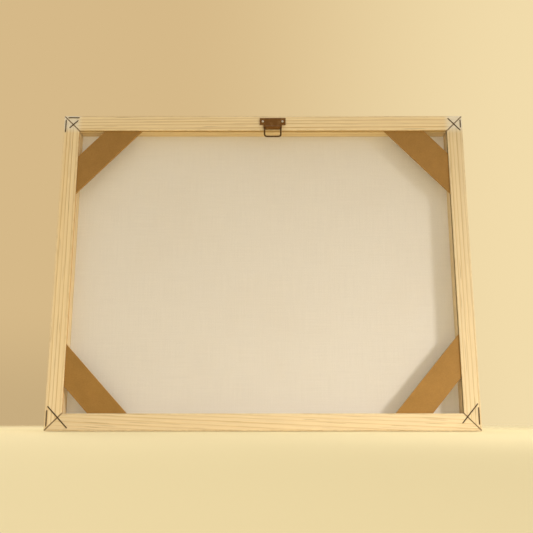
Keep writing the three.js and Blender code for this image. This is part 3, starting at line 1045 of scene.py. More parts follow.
    relief = nodes.new("ShaderNodeMath")
    relief.label = "Fibres and raised late wood"
    relief.operation = "MULTIPLY_ADD"
    relief.inputs[1].default_value = 0.5
    bump = nodes.new("ShaderNodeBump")
    bump.label = "Planed surface"
    bump.inputs["Strength"].default_value = 0.55
    bump.inputs["Distance"].default_value = 0.00012
    gloss = nodes.new("ShaderNodeMapRange")
    gloss.label = "Smoother between the fibres"
    gloss.inputs["From Min"].default_value = 0.3
    gloss.inputs["From Max"].default_value = 0.7
    gloss.inputs["To Min"].default_value = 0.7
    gloss.inputs["To Max"].default_value = 0.5
    shader = nodes.new("ShaderNodeBsdfPrincipled")
    shader.label = "Bare pine"
    shader.inputs["Specular IOR Level"].default_value = 0.3
    output = nodes.new("ShaderNodeOutputMaterial")
    output.label = "Pine"
    links.new(ring_amount.outputs["Value"], relief.inputs[0])
    links.new(fibres.outputs["Fac"], relief.inputs[2])
    links.new(relief.outputs["Value"], bump.inputs["Height"])
    links.new(fibres.outputs["Fac"], gloss.inputs["Value"])
    links.new(jointed.outputs[2], shader.inputs["Base Color"])
    links.new(gloss.outputs["Result"], shader.inputs["Roughness"])
    links.new(bump.outputs["Normal"], shader.inputs["Normal"])
    links.new(shader.outputs["BSDF"], output.inputs["Surface"])

    arrange(nodes, (
        ("Place in the log", (place, board, fibre_run)),
        ("Year rings", (wander, bend, rings, ring_tone, ring_strength, ring_range, ring_amount)),
        ("Wood colour", (wood, patches, patch_range, warm)),
        ("Fibres", (fibres, fibre_range, fibred)),
        ("Resin ducts", (resin, duct, streaked)),
        ("Handling", (rubbed, grime, grime_range, edge_marks, handled)),
        ("Saw cuts with painted shade", (cut, sawn_wood_with_shade)),
        ("Glue at the corners", (split, from_middle, corner, dusty, filmed)),
        ("Mitre line", (
            sideways, level_middle, upward, slant, off_seam, either_side, seam, at_face, seam_amount, jointed,
        )),
        ("Surface", (relief, bump, gloss, shader, output)),
    ))
    return material


def fibreboard_finish(name, base, fleck, flat, rough):
    """Pressed brown fibreboard; flat is the squash of its fibres in depth, stronger on a cut edge."""
    material = bpy.data.materials.new(name)
    material.use_nodes = True
    nodes = material.node_tree.nodes
    links = material.node_tree.links
    nodes.clear()

    place = nodes.new("ShaderNodeTexCoord")
    place.label = "Place on the brace"
    turned = nodes.new("ShaderNodeMapping")
    turned.label = "Fibres lie flat in the board"
    turned.inputs["Rotation"].default_value = (0, math.radians(32), 0)
    turned.inputs["Scale"].default_value = (500, 500 * flat, 1500)
    crossed = nodes.new("ShaderNodeMapping")
    crossed.label = "Fibres the other way"
    crossed.inputs["Rotation"].default_value = (0, math.radians(-48), 0)
    crossed.inputs["Scale"].default_value = (1500, 500 * flat, 450)
    one_way = nodes.new("ShaderNodeTexNoise")
    one_way.label = "Fibres one way"
    one_way.inputs["Scale"].default_value = 1
    one_way.inputs["Detail"].default_value = 3
    other_way = nodes.new("ShaderNodeTexNoise")
    other_way.label = "Fibres across them"
    other_way.inputs["Scale"].default_value = 1
    other_way.inputs["Detail"].default_value = 3
    felt = nodes.new("ShaderNodeMath")
    felt.label = "Felted fibres"
    felt.operation = "MAXIMUM"
    links.new(place.outputs["Object"], turned.inputs["Vector"])
    links.new(place.outputs["Object"], crossed.inputs["Vector"])
    links.new(turned.outputs["Vector"], one_way.inputs["Vector"])
    links.new(crossed.outputs["Vector"], other_way.inputs["Vector"])
    links.new(one_way.outputs["Fac"], felt.inputs[0])
    links.new(other_way.outputs["Fac"], felt.inputs[1])

    fibre_tone = nodes.new("ShaderNodeMapRange")
    fibre_tone.label = "Pale fibres"
    fibre_tone.inputs["From Min"].default_value = 0.45
    fibre_tone.inputs["From Max"].default_value = 0.8
    fibre_tone.inputs["To Max"].default_value = 0.55
    board = nodes.new("ShaderNodeMix")
    board.label = "Board and its fibres"
    board.data_type = "RGBA"
    board.inputs[6].default_value = (*base, 1)
    board.inputs[7].default_value = (*fleck, 1)
    clouds = nodes.new("ShaderNodeTexNoise")
    clouds.label = "Pressed cloudy tone"
    clouds.inputs["Scale"].default_value = 70
    clouds.inputs["Detail"].default_value = 4
    cloud_tone = nodes.new("ShaderNodeMapRange")
    cloud_tone.label = "Lighter and darker clouds"
    cloud_tone.inputs["From Min"].default_value = 0.3
    cloud_tone.inputs["From Max"].default_value = 0.7
    cloud_tone.inputs["To Min"].default_value = 0.94
    cloud_tone.inputs["To Max"].default_value = 1.05
    clouded = nodes.new("ShaderNodeMix")
    clouded.label = "Clouded board"
    clouded.data_type = "RGBA"
    clouded.blend_type = "MULTIPLY"
    clouded.inputs[0].default_value = 1
    links.new(felt.outputs["Value"], fibre_tone.inputs["Value"])
    links.new(fibre_tone.outputs["Result"], board.inputs[0])
    links.new(place.outputs["Object"], clouds.inputs["Vector"])
    links.new(clouds.outputs["Fac"], cloud_tone.inputs["Value"])
    links.new(board.outputs[2], clouded.inputs[6])
    links.new(cloud_tone.outputs["Result"], clouded.inputs[7])

    specks = nodes.new("ShaderNodeTexVoronoi")
    specks.label = "Bark specks"
    specks.inputs["Scale"].default_value = 420
    speck_size = nodes.new("ShaderNodeMapRange")
    speck_size.label = "Small dark specks"
    speck_size.inputs["From Min"].default_value = 0.14
    speck_size.inputs["From Max"].default_value = 0.05
    speck_size.inputs["To Max"].default_value = 0.4
    specked = nodes.new("ShaderNodeMix")
    specked.label = "Specked board"
    specked.data_type = "RGBA"
    specked.inputs[7].default_value = (*(0.35 * c for c in base), 1)
    links.new(place.outputs["Object"], specks.inputs["Vector"])
    links.new(specks.outputs["Distance"], speck_size.inputs["Value"])
    links.new(speck_size.outputs["Result"], specked.inputs[0])
    links.new(clouded.outputs[2], specked.inputs[6])

    bump = nodes.new("ShaderNodeBump")
    bump.label = "Felted surface"
    bump.inputs["Strength"].default_value = 0.5
    bump.inputs["Distance"].default_value = 0.0001
    gloss = nodes.new("ShaderNodeMapRange")
    gloss.label = "Pressed smooth in places"
    gloss.inputs["From Min"].default_value = 0.3
    gloss.inputs["From Max"].default_value = 0.7
    gloss.inputs["To Min"].default_value = rough
    gloss.inputs["To Max"].default_value = rough - 0.16
    shader = nodes.new("ShaderNodeBsdfPrincipled")
    shader.label = "Fibreboard"
    shader.inputs["Specular IOR Level"].default_value = 0.3
    output = nodes.new("ShaderNodeOutputMaterial")
    output.label = "Brace"
    links.new(felt.outputs["Value"], bump.inputs["Height"])
    links.new(clouds.outputs["Fac"], gloss.inputs["Value"])
    links.new(specked.outputs[2], shader.inputs["Base Color"])
    links.new(gloss.outputs["Result"], shader.inputs["Roughness"])
    links.new(bump.outputs["Normal"], shader.inputs["Normal"])
    links.new(shader.outputs["BSDF"], output.inputs["Surface"])

    arrange(nodes, (
        ("Felted fibres", (place, turned, crossed, one_way, other_way, felt)),
        ("Board colour", (fibre_tone, board, clouds, cloud_tone, clouded)),
        ("Specks", (specks, speck_size, specked)),
        ("Surface", (bump, gloss, shader, output)),
    ))
    return material


def mesh_finish(name, sizes, colours):
    """Plain weave of fine yarns, drawn in the flat metres of the cloth's own map, with painted shade between
    the yarns.
    """
    material = bpy.data.materials.new(name)
    material.use_nodes = True
    nodes = material.node_tree.nodes
    links = material.node_tree.links
    nodes.clear()

    flat = nodes.new("ShaderNodeUVMap")
    flat.label = "Flat cloth in metres"
    flat.uv_map = "flat_cloth"
    drift = nodes.new("ShaderNodeTexNoise")
    drift.label = "Yarns drift a little"
    drift.inputs["Scale"].default_value = 60
    drift.inputs["Detail"].default_value = 1
    drifted = nodes.new("ShaderNodeVectorMath")
    drifted.label = "Drifted yarns"
    drifted.operation = "MULTIPLY_ADD"
    drifted.inputs[1].default_value = (0.0004, 0.0004, 0)
    counted = nodes.new("ShaderNodeVectorMath")
    counted.label = "Half turns for each yarn"
    counted.operation = "SCALE"
    counted.inputs["Scale"].default_value = math.pi / sizes.thread_pitch
    apart = nodes.new("ShaderNodeSeparateXYZ")
    apart.label = "Across and along"
    links.new(flat.outputs["UV"], drift.inputs["Vector"])
    links.new(drift.outputs["Color"], drifted.inputs[0])
    links.new(flat.outputs["UV"], drifted.inputs[2])
    links.new(drifted.outputs["Vector"], counted.inputs[0])
    links.new(counted.outputs["Vector"], apart.inputs["Vector"])

    across = nodes.new("ShaderNodeMath")
    across.label = "Warp yarns"
    across.operation = "SINE"
    along = nodes.new("ShaderNodeMath")
    along.label = "Weft yarns"
    along.operation = "COSINE"
    warp_round = nodes.new("ShaderNodeMath")
    warp_round.label = "Round warp"
    warp_round.operation = "ABSOLUTE"
    weft_round = nodes.new("ShaderNodeMath")
    weft_round.label = "Round weft"
    weft_round.operation = "ABSOLUTE"
    over = nodes.new("ShaderNodeMath")
    over.label = "Over one, under one"
    over.operation = "MULTIPLY"
    warp = nodes.new("ShaderNodeMath")
    warp.label = "Warp rises over the weft"
    warp.operation = "MULTIPLY_ADD"
    warp.inputs[1].default_value = 0.5
    weft = nodes.new("ShaderNodeMath")
    weft.label = "Weft rises over the warp"
    weft.operation = "MULTIPLY_ADD"
    weft.inputs[1].default_value = -0.5
    weave = nodes.new("ShaderNodeMath")
    weave.label = "Upper yarn of the two"
    weave.operation = "MAXIMUM"
    links.new(apart.outputs["X"], across.inputs[0])
    links.new(apart.outputs["Y"], along.inputs[0])
    links.new(across.outputs["Value"], warp_round.inputs[0])
    links.new(along.outputs["Value"], weft_round.inputs[0])
    links.new(across.outputs["Value"], over.inputs[0])
    links.new(along.outputs["Value"], over.inputs[1])
    links.new(over.outputs["Value"], warp.inputs[0])
    links.new(warp_round.outputs["Value"], warp.inputs[2])
    links.new(over.outputs["Value"], weft.inputs[0])
    links.new(weft_round.outputs["Value"], weft.inputs[2])
    links.new(warp.outputs["Value"], weave.inputs[0])
    links.new(weft.outputs["Value"], weave.inputs[1])

    weft_run = nodes.new("ShaderNodeMapping")
    weft_run.label = "Uneven weft yarns"
    weft_run.inputs["Scale"].default_value = (26, 900, 1)
    warp_run = nodes.new("ShaderNodeMapping")
    warp_run.label = "Uneven warp yarns"
    warp_run.inputs["Scale"].default_value = (900, 26, 1)
    weft_slub = nodes.new("ShaderNodeTexNoise")
    weft_slub.label = "Weft slubs"
    weft_slub.inputs["Scale"].default_value = 1
    weft_slub.inputs["Detail"].default_value = 3
    warp_slub = nodes.new("ShaderNodeTexNoise")
    warp_slub.label = "Warp slubs"
    warp_slub.inputs["Scale"].default_value = 1
    warp_slub.inputs["Detail"].default_value = 3
    slubs = nodes.new("ShaderNodeMath")
    slubs.label = "Both together"
    slubs.operation = "ADD"
    slub_tone = nodes.new("ShaderNodeMapRange")
    slub_tone.label = "Lighter and darker yarns"
    slub_tone.inputs["From Min"].default_value = 0.75
    slub_tone.inputs["From Max"].default_value = 1.25
    slub_tone.inputs["To Min"].default_value = 0.975
    slub_tone.inputs["To Max"].default_value = 1.015
    links.new(flat.outputs["UV"], weft_run.inputs["Vector"])
    links.new(flat.outputs["UV"], warp_run.inputs["Vector"])
    links.new(weft_run.outputs["Vector"], weft_slub.inputs["Vector"])
    links.new(warp_run.outputs["Vector"], warp_slub.inputs["Vector"])
    links.new(weft_slub.outputs["Fac"], slubs.inputs[0])
    links.new(warp_slub.outputs["Fac"], slubs.inputs[1])
    links.new(slubs.outputs["Value"], slub_tone.inputs["Value"])

    # Painted shade: the yarn colour is darkened where the weave is low, between the yarns.
    shade_between_yarns = nodes.new("ShaderNodeMapRange")
    shade_between_yarns.label = "Painted shade between the yarns"
    shade_between_yarns.inputs["From Min"].default_value = 0.35
    shade_between_yarns.inputs["From Max"].default_value = 1.1
    shade_between_yarns.inputs["To Min"].default_value = 0.8
    yarn = nodes.new("ShaderNodeMix")
    yarn.label = "Yarn colour and painted shade"
    yarn.data_type = "RGBA"
    yarn.blend_type = "MULTIPLY"
    yarn.inputs[0].default_value = 1
    yarn.inputs[6].default_value = (*colours.cloth, 1)
    uneven = nodes.new("ShaderNodeMix")
    uneven.label = "Uneven yarn"
    uneven.data_type = "RGBA"
    uneven.blend_type = "MULTIPLY"
    uneven.inputs[0].default_value = 1
    links.new(weave.outputs["Value"], shade_between_yarns.inputs["Value"])
    links.new(shade_between_yarns.outputs["Result"], yarn.inputs[7])
    links.new(yarn.outputs[2], uneven.inputs[6])
    links.new(slub_tone.outputs["Result"], uneven.inputs[7])

    stain = nodes.new("ShaderNodeTexNoise")
    stain.label = "Faint wash marks"
    stain.inputs["Scale"].default_value = 9
    stain.inputs["Detail"].default_value = 5
    stain_range = nodes.new("ShaderNodeMapRange")
    stain_range.label = "Where the marks show"
    stain_range.inputs["From Min"].default_value = 0.5
    stain_range.inputs["From Max"].default_value = 0.75
    stain_range.inputs["To Max"].default_value = 0.1
    washed = nodes.new("ShaderNodeMix")
    washed.label = "Washed cloth"
    washed.data_type = "RGBA"
    washed.inputs[7].default_value = (*(c * f for c, f in zip(colours.cloth, (0.86, 0.8, 0.7))), 1)
    links.new(flat.outputs["UV"], stain.inputs["Vector"])
    links.new(stain.outputs["Fac"], stain_range.inputs["Value"])
    links.new(stain_range.outputs["Result"], washed.inputs[0])
    links.new(uneven.outputs[2], washed.inputs[6])

    bump = nodes.new("ShaderNodeBump")
    bump.label = "Woven relief"
    bump.inputs["Strength"].default_value = 0.4
    bump.inputs["Distance"].default_value = 0.00012
    gloss = nodes.new("ShaderNodeMapRange")
    gloss.label = "Crowns of the yarns are smoother"
    gloss.inputs["From Min"].default_value = 0.4
    gloss.inputs["From Max"].default_value = 1.4
    gloss.inputs["To Min"].default_value = 0.92
    gloss.inputs["To Max"].default_value = 0.72
    shader = nodes.new("ShaderNodeBsdfPrincipled")
    shader.label = "Mesh cloth"
    shader.inputs["Specular IOR Level"].default_value = 0.25
    shader.inputs["Sheen Weight"].default_value = 0.12
    shader.inputs["Sheen Roughness"].default_value = 0.5
    glow = nodes.new("ShaderNodeBsdfTranslucent")
    glow.label = "Light through the cloth"
    thin = nodes.new("ShaderNodeMixShader")
    thin.label = "Thin cloth"
    thin.inputs["Fac"].default_value = 0.5
    output = nodes.new("ShaderNodeOutputMaterial")
    output.label = "Mesh"
    links.new(weave.outputs["Value"], bump.inputs["Height"])
    links.new(weave.outputs["Value"], gloss.inputs["Value"])
    links.new(washed.outputs[2], shader.inputs["Base Color"])
    links.new(gloss.outputs["Result"], shader.inputs["Roughness"])
    links.new(bump.outputs["Normal"], shader.inputs["Normal"])
    links.new(washed.outputs[2], glow.inputs["Color"])
    links.new(bump.outputs["Normal"], glow.inputs["Normal"])
    links.new(shader.outputs["BSDF"], thin.inputs[1])
    links.new(glow.outputs["BSDF"], thin.inputs[2])
    links.new(thin.outputs["Shader"], output.inputs["Surface"])

    arrange(nodes, (
        ("Flat cloth", (flat, drift, drifted, counted, apart)),
        ("Plain weave", (across, along, warp_round, weft_round, over, warp, weft, weave)),
        ("Slubs", (weft_run, warp_run, weft_slub, warp_slub, slubs, slub_tone)),
        ("Yarn colour and painted shade", (shade_between_yarns, yarn, uneven)),
        ("Wash marks", (stain, stain_range, washed)),
        ("Surface", (bump, gloss, shader, glow, thin, output)),
    ))
    return material


def cord_finish(name, colours):
    """Soft twisted cotton: fibres along the strands, with painted shade where two strands meet."""
    material = bpy.data.materials.new(name)
    material.use_nodes = True
    nodes = material.node_tree.nodes
    links = material.node_tree.links
    nodes.clear()

    strands = nodes.new("ShaderNodeUVMap")
    strands.label = "Round and along the cord"
    strands.uv_map = "along_cord"
    apart = nodes.new("ShaderNodeSeparateXYZ")
    apart.label = "Round, along"
    thirds = nodes.new("ShaderNodeMath")
    thirds.label = "Three strands"
    thirds.operation = "MULTIPLY"
    thirds.inputs[1].default_value = 3 * math.pi
    meeting = nodes.new("ShaderNodeMath")
    meeting.label = "Crown to valley"
    meeting.operation = "COSINE"
    crown = nodes.new("ShaderNodeMath")
    crown.label = "Same for each strand"
    crown.operation = "ABSOLUTE"
    # Painted shade: the cotton is darkened in the valleys where two strands meet.
    valley = nodes.new("ShaderNodeMapRange")
    valley.label = "Painted shade where strands meet"
    valley.inputs["From Max"].default_value = 0.5
    valley.inputs["To Min"].default_value = 0.5
    links.new(strands.outputs["UV"], apart.inputs["Vector"])
    links.new(apart.outputs["X"], thirds.inputs[0])
    links.new(thirds.outputs["Value"], meeting.inputs[0])
    links.new(meeting.outputs["Value"], crown.inputs[0])
    links.new(crown.outputs["Value"], valley.inputs["Value"])

    twisted = nodes.new("ShaderNodeMapping")
    twisted.label = "Fibres lie across the strand"
    twisted.inputs["Rotation"].default_value = (0, 0, math.radians(-12))
    twisted.inputs["Scale"].default_value = (60, 500, 1)
    fibres = nodes.new("ShaderNodeTexNoise")
    fibres.label = "Cotton fibres"
    fibres.inputs["Scale"].default_value = 2
    fibres.inputs["Detail"].default_value = 4
    fibre_tone = nodes.new("ShaderNodeMapRange")
    fibre_tone.label = "Light and dark fibres"
    fibre_tone.inputs["From Min"].default_value = 0.3
    fibre_tone.inputs["From Max"].default_value = 0.7
    fibre_tone.inputs["To Min"].default_value = 0.82
    fibre_tone.inputs["To Max"].default_value = 1.05
    links.new(strands.outputs["UV"], twisted.inputs["Vector"])
    links.new(twisted.outputs["Vector"], fibres.inputs["Vector"])
    links.new(fibres.outputs["Fac"], fibre_tone.inputs["Value"])

    cotton = nodes.new("ShaderNodeMix")
    cotton.label = "Cotton"
    cotton.data_type = "RGBA"
    cotton.blend_type = "MULTIPLY"
    cotton.inputs[0].default_value = 1
    cotton.inputs[6].default_value = (*colours.cord, 1)
    shaded = nodes.new("ShaderNodeMix")
    shaded.label = "Cotton with painted valley shade"
    shaded.data_type = "RGBA"
    shaded.blend_type = "MULTIPLY"
    shaded.inputs[0].default_value = 1
    ink = nodes.new("ShaderNodeTexNoise")
    ink.label = "Greyed by use"
    ink.inputs["Scale"].default_value = 14
    ink.inputs["Detail"].default_value = 3
    ink_range = nodes.new("ShaderNodeMapRange")
    ink_range.label = "Where it is grey"
    ink_range.inputs["From Min"].default_value = 0.5
    ink_range.inputs["From Max"].default_value = 0.7
    ink_range.inputs["To Max"].default_value = 0.3
    place = nodes.new("ShaderNodeTexCoord")
    place.label = "Place along the frame"
    greyed = nodes.new("ShaderNodeMix")
    greyed.label = "Greyed cotton"
    greyed.data_type = "RGBA"
    greyed.inputs[7].default_value = (*(0.6 * c for c in colours.cord), 1)
    links.new(fibre_tone.outputs["Result"], cotton.inputs[7])
    links.new(cotton.outputs[2], shaded.inputs[6])
    links.new(valley.outputs["Result"], shaded.inputs[7])
    links.new(place.outputs["Object"], ink.inputs["Vector"])
    links.new(ink.outputs["Fac"], ink_range.inputs["Value"])
    links.new(ink_range.outputs["Result"], greyed.inputs[0])
    links.new(shaded.outputs[2], greyed.inputs[6])

    bump = nodes.new("ShaderNodeBump")
    bump.label = "Fibres stand out"
    bump.inputs["Strength"].default_value = 0.6
    bump.inputs["Distance"].default_value = 0.00015
    gloss = nodes.new("ShaderNodeMapRange")
    gloss.label = "Soft and dull"
    gloss.inputs["To Min"].default_value = 0.95
    gloss.inputs["To Max"].default_value = 0.8
    shader = nodes.new("ShaderNodeBsdfPrincipled")
    shader.label = "Cotton cord"
    shader.inputs["Specular IOR Level"].default_value = 0.2
    shader.inputs["Sheen Weight"].default_value = 0.25
    output = nodes.new("ShaderNodeOutputMaterial")
    output.label = "Cord"
    links.new(fibres.outputs["Fac"], bump.inputs["Height"])
    links.new(fibres.outputs["Fac"], gloss.inputs["Value"])
    links.new(greyed.outputs[2], shader.inputs["Base Color"])
    links.new(gloss.outputs["Result"], shader.inputs["Roughness"])
    links.new(bump.outputs["Normal"], shader.inputs["Normal"])
    links.new(shader.outputs["BSDF"], output.inputs["Surface"])

    arrange(nodes, (
        ("Strands", (strands, apart, thirds, meeting, crown, valley)),
        ("Fibres", (twisted, fibres, fibre_tone)),
        ("Cotton colour", (cotton, shaded)),
        ("Use", (place, ink, ink_range, greyed)),
        ("Surface", (bump, gloss, shader, output)),
    ))
    return material


def metal_finish(name, base, worn, wear, grain, metallic, smoothest, roughest):
    """Thin metal with a tarnished or lacquered skin that is rubbed through in places."""
    material = bpy.data.materials.new(name)
    material.use_nodes = True
    nodes = material.node_tree.nodes
    links = material.node_tree.links
    nodes.clear()

    place = nodes.new("ShaderNodeTexCoord")
    place.label = "Place on the metal"
    patches = nodes.new("ShaderNodeTexNoise")
    patches.label = "Uneven skin"
    patches.inputs["Scale"].default_value = grain
    patches.inputs["Detail"].default_value = 6
    patches.inputs["Roughness"].default_value = 0.6
    rubbed = nodes.new("ShaderNodeMapRange")
    rubbed.label = "Rubbed through"
    rubbed.inputs["From Min"].default_value = 0.52
    rubbed.inputs["From Max"].default_value = 0.68
    rubbed.inputs["To Max"].default_value = wear
    skin = nodes.new("ShaderNodeMix")
    skin.label = "Skin and bare metal"
    skin.data_type = "RGBA"
    skin.inputs[6].default_value = (*base, 1)
    skin.inputs[7].default_value = (*worn, 1)
    links.new(place.outputs["Object"], patches.inputs["Vector"])
    links.new(patches.outputs["Fac"], rubbed.inputs["Value"])
    links.new(rubbed.outputs["Result"], skin.inputs[0])

    pits = nodes.new("ShaderNodeTexNoise")
    pits.label = "Fine pits and drawing marks"
    pits.inputs["Scale"].default_value = grain * 7
    pits.inputs["Detail"].default_value = 3
    pit_tone = nodes.new("ShaderNodeMapRange")
    pit_tone.label = "Dark in the pits"
    pit_tone.inputs["From Min"].default_value = 0.3
    pit_tone.inputs["From Max"].default_value = 0.6
    pit_tone.inputs["To Min"].default_value = 0.7
    pitted = nodes.new("ShaderNodeMix")
    pitted.label = "Pitted metal"
    pitted.data_type = "RGBA"
    pitted.blend_type = "MULTIPLY"
    pitted.inputs[0].default_value = 1
    links.new(place.outputs["Object"], pits.inputs["Vector"])
    links.new(pits.outputs["Fac"], pit_tone.inputs["Value"])
    links.new(skin.outputs[2], pitted.inputs[6])
    links.new(pit_tone.outputs["Result"], pitted.inputs[7])

    gloss = nodes.new("ShaderNodeMapRange")
    gloss.label = "Rubbed metal shines"
    gloss.inputs["From Min"].default_value = 0.35
    gloss.inputs["From Max"].default_value = 0.7
    gloss.inputs["To Min"].default_value = roughest
    gloss.inputs["To Max"].default_value = smoothest
    bump = nodes.new("ShaderNodeBump")
    bump.label = "Pits"
    bump.inputs["Strength"].default_value = 0.35
    bump.inputs["Distance"].default_value = 0.00004
    shader = nodes.new("ShaderNodeBsdfPrincipled")
    shader.label = name.replace("_", " ")
    shader.inputs["Metallic"].default_value = metallic
    output = nodes.new("ShaderNodeOutputMaterial")
    output.label = "Metal"
    links.new(patches.outputs["Fac"], gloss.inputs["Value"])
    links.new(pits.outputs["Fac"], bump.inputs["Height"])
    links.new(pitted.outputs[2], shader.inputs["Base Color"])
    links.new(gloss.outputs["Result"], shader.inputs["Roughness"])
    links.new(bump.outputs["Normal"], shader.inputs["Normal"])
    links.new(shader.outputs["BSDF"], output.inputs["Surface"])

    arrange(nodes, (
        ("Skin", (place, patches, rubbed, skin)),
        ("Pits", (pits, pit_tone, pitted)),
        ("Surface", (gloss, bump, shader, output)),
    ))
    return material


def floor_finish(name, colours):
    """A plain matt floor with the faintest unevenness, which melts into the room far away."""
    material = bpy.data.materials.new(name)
    material.use_nodes = True
    nodes = material.node_tree.nodes
    links = material.node_tree.links
    nodes.clear()
    place = nodes.new("ShaderNodeTexCoord")
    place.label = "Place on the floor"
    clouds = nodes.new("ShaderNodeTexNoise")
    clouds.label = "Faint clouds"
    clouds.inputs["Scale"].default_value = 3
    tone = nodes.new("ShaderNodeMix")
    tone.label = "Floor colour"
    tone.data_type = "RGBA"
    tone.inputs[6].default_value = (*colours.floor, 1)
    tone.inputs[7].default_value = (*(0.96 * c for c in colours.floor), 1)
    shader = nodes.new("ShaderNodeBsdfPrincipled")
    shader.label = "Matt floor"
    shader.inputs["Roughness"].default_value = 0.9
    shader.inputs["Specular IOR Level"].default_value = 0.0
    ahead = nodes.new("ShaderNodeVectorMath")
    ahead.label = "Measured from in front of the frame"
    ahead.operation = "ADD"
    ahead.inputs[1].default_value = (0, 0.6, 0)
    away = nodes.new("ShaderNodeVectorMath")
    away.label = "Distance over the floor"
    away.operation = "LENGTH"
    melt = nodes.new("ShaderNodeMapRange")
    melt.label = "Floor melts into the room"
    melt.interpolation_type = "SMOOTHSTEP"
    melt.inputs["From Min"].default_value = 0.8
    melt.inputs["From Max"].default_value = 1.3
    melt.inputs["To Min"].default_value = 1
    melt.inputs["To Max"].default_value = 0
    output = nodes.new("ShaderNodeOutputMaterial")
    output.label = "Floor"
    links.new(place.outputs["Object"], ahead.inputs[0])
    links.new(ahead.outputs["Vector"], away.inputs[0])
    links.new(away.outputs["Value"], melt.inputs["Value"])
    links.new(melt.outputs["Result"], shader.inputs["Alpha"])
    links.new(place.outputs["Object"], clouds.inputs["Vector"])
    links.new(clouds.outputs["Fac"], tone.inputs[0])
    links.new(tone.outputs[2], shader.inputs["Base Color"])
    links.new(shader.outputs["BSDF"], output.inputs["Surface"])
    arrange(nodes, (
        ("Tone", (place, clouds, tone)),
        ("Far edge", (ahead, away, melt)),
        ("Surface", (shader, output)),
    ))
    return material


# ---- operators ---------------------------------------------------------------------------


class MakeBars(bpy.types.Operator):
    """Makes the four mitred pine bars with their kerfs and cord grooves."""

    bl_idname = "printing_frame.make_bars"
    bl_label = "Pine bars"

    def execute(self, context):
        sizes, colours = context.scene.frame_sizes, context.scene.frame_colours
        # Each bar's kerf tone is painted shade in its kerf and groove: full on the left bar, which faces the
        # key light, darkest on the right bar, which faces away.
        timber = {
            "top_bar": {
                "along": "X", "pith": (0.0, 0.046, -HEIGHT + 0.071), "lean": 0.5, "tone": 1.03,
                "kerf_shade_tone": 0.85, "contrast": 0.9, "warmth": 0.35, "haze": 0.75,
            },
            "bottom_bar": {
                "along": "X", "pith": (0.31, 0.052, 0.06), "lean": -2.4, "tone": 0.95,
                "kerf_shade_tone": 0.7, "contrast": 0.6, "warmth": 0.2, "haze": 0.0,
            },
            "left_bar": {
                "along": "Z", "pith": (HALF_WIDTH + 0.042, 0.038, 0.13), "lean": 0.0, "tone": 1.02,
                "kerf_shade_tone": 1.0, "contrast": 1.0, "warmth": 0.45, "haze": 0.75,
            },
            "right_bar": {
                "along": "Z", "pith": (-HALF_WIDTH - 0.05, 0.039, 0.55), "lean": 0.3, "tone": 0.9,
                "kerf_shade_tone": 0.3, "contrast": 0.7, "warmth": 0.3, "haze": 0.75,
            },
        }
        for node in BARS:
            bar = make_bar(node, sizes)
            bar.data.materials.append(pine_finish(f"pine_{node}", colours, **timber[node]))
            finish_piece(bar, "frame", "pine", node)
        return {"FINISHED"}


class MakeBraces(bpy.types.Operator):
    """Makes the four fibreboard corner braces."""

    bl_idname = "printing_frame.make_braces"
    bl_label = "Corner braces"

    def execute(self, context):
        colours = context.scene.frame_colours
        board, edge = colours.fibreboard, colours.fibreboard_edge
        pale = tuple(min(1.0, 1.4 * c) for c in board)
        faces = fibreboard_finish("fibreboard_face", board, pale, 1.0, 0.66)
        cut = fibreboard_finish("fibreboard_cut_edge", edge, tuple(0.62 * c for c in edge), 7.0, 0.92)
        for corner in CORNERS:
            brace = make_brace(corner)
            brace.data.materials.append(faces)
            brace.data.materials.append(cut)
            finish_piece(brace, "frame", "fibreboard", f"brace_{corner}")
        return {"FINISHED"}


class MakeStaples(bpy.types.Operator):
    """Makes the wire staples that hold the mitres."""

    bl_idname = "printing_frame.make_staples"
    bl_label = "Staples"

    def execute(self, context):
        sizes, colours = context.scene.frame_sizes, context.scene.frame_colours
        steel = colours.staple
        dark = tuple(0.45 * c for c in steel)
        finish = metal_finish("staple_wire", steel, dark, 0.6, 260, 0.9, 0.34, 0.55)
        rng = random.Random(11)
        for node in STAPLES:
            staple = make_staple(node, sizes, rng)
            staple.data.materials.append(finish)
            finish_piece(staple, "frame", "staple_wire", node)
        return {"FINISHED"}


class MakeMesh(bpy.types.Operator):
    """Makes the woven mesh, stretched over the print face and tucked into the groove."""

    bl_idname = "printing_frame.make_mesh"
    bl_label = "Printing mesh"

    def execute(self, context):
        sizes, colours = context.scene.frame_sizes, context.scene.frame_colours
        cloth, flat = make_cloth(sizes)
        cloth.data.materials.append(mesh_finish("mesh_cloth", sizes, colours))
        finish_piece(cloth, "frame", "mesh_cloth", "printing_mesh")
        return {"FINISHED"}


class MakeCords(bpy.types.Operator):
    """Makes the four cords that press the mesh into its groove."""

    bl_idname = "printing_frame.make_cords"
    bl_label = "Groove cords"

    def execute(self, context):
        sizes, colours = context.scene.frame_sizes, context.scene.frame_colours
        finish = cord_finish("groove_cord", colours)
        for side in ("top", "bottom", "left", "right"):
            node = f"mesh_cord_{side}"
            cord = make_cord(node, sizes)
            cord.data.materials.append(finish)
            finish_piece(cord, "frame", "groove_cord", node)
        return {"FINISHED"}


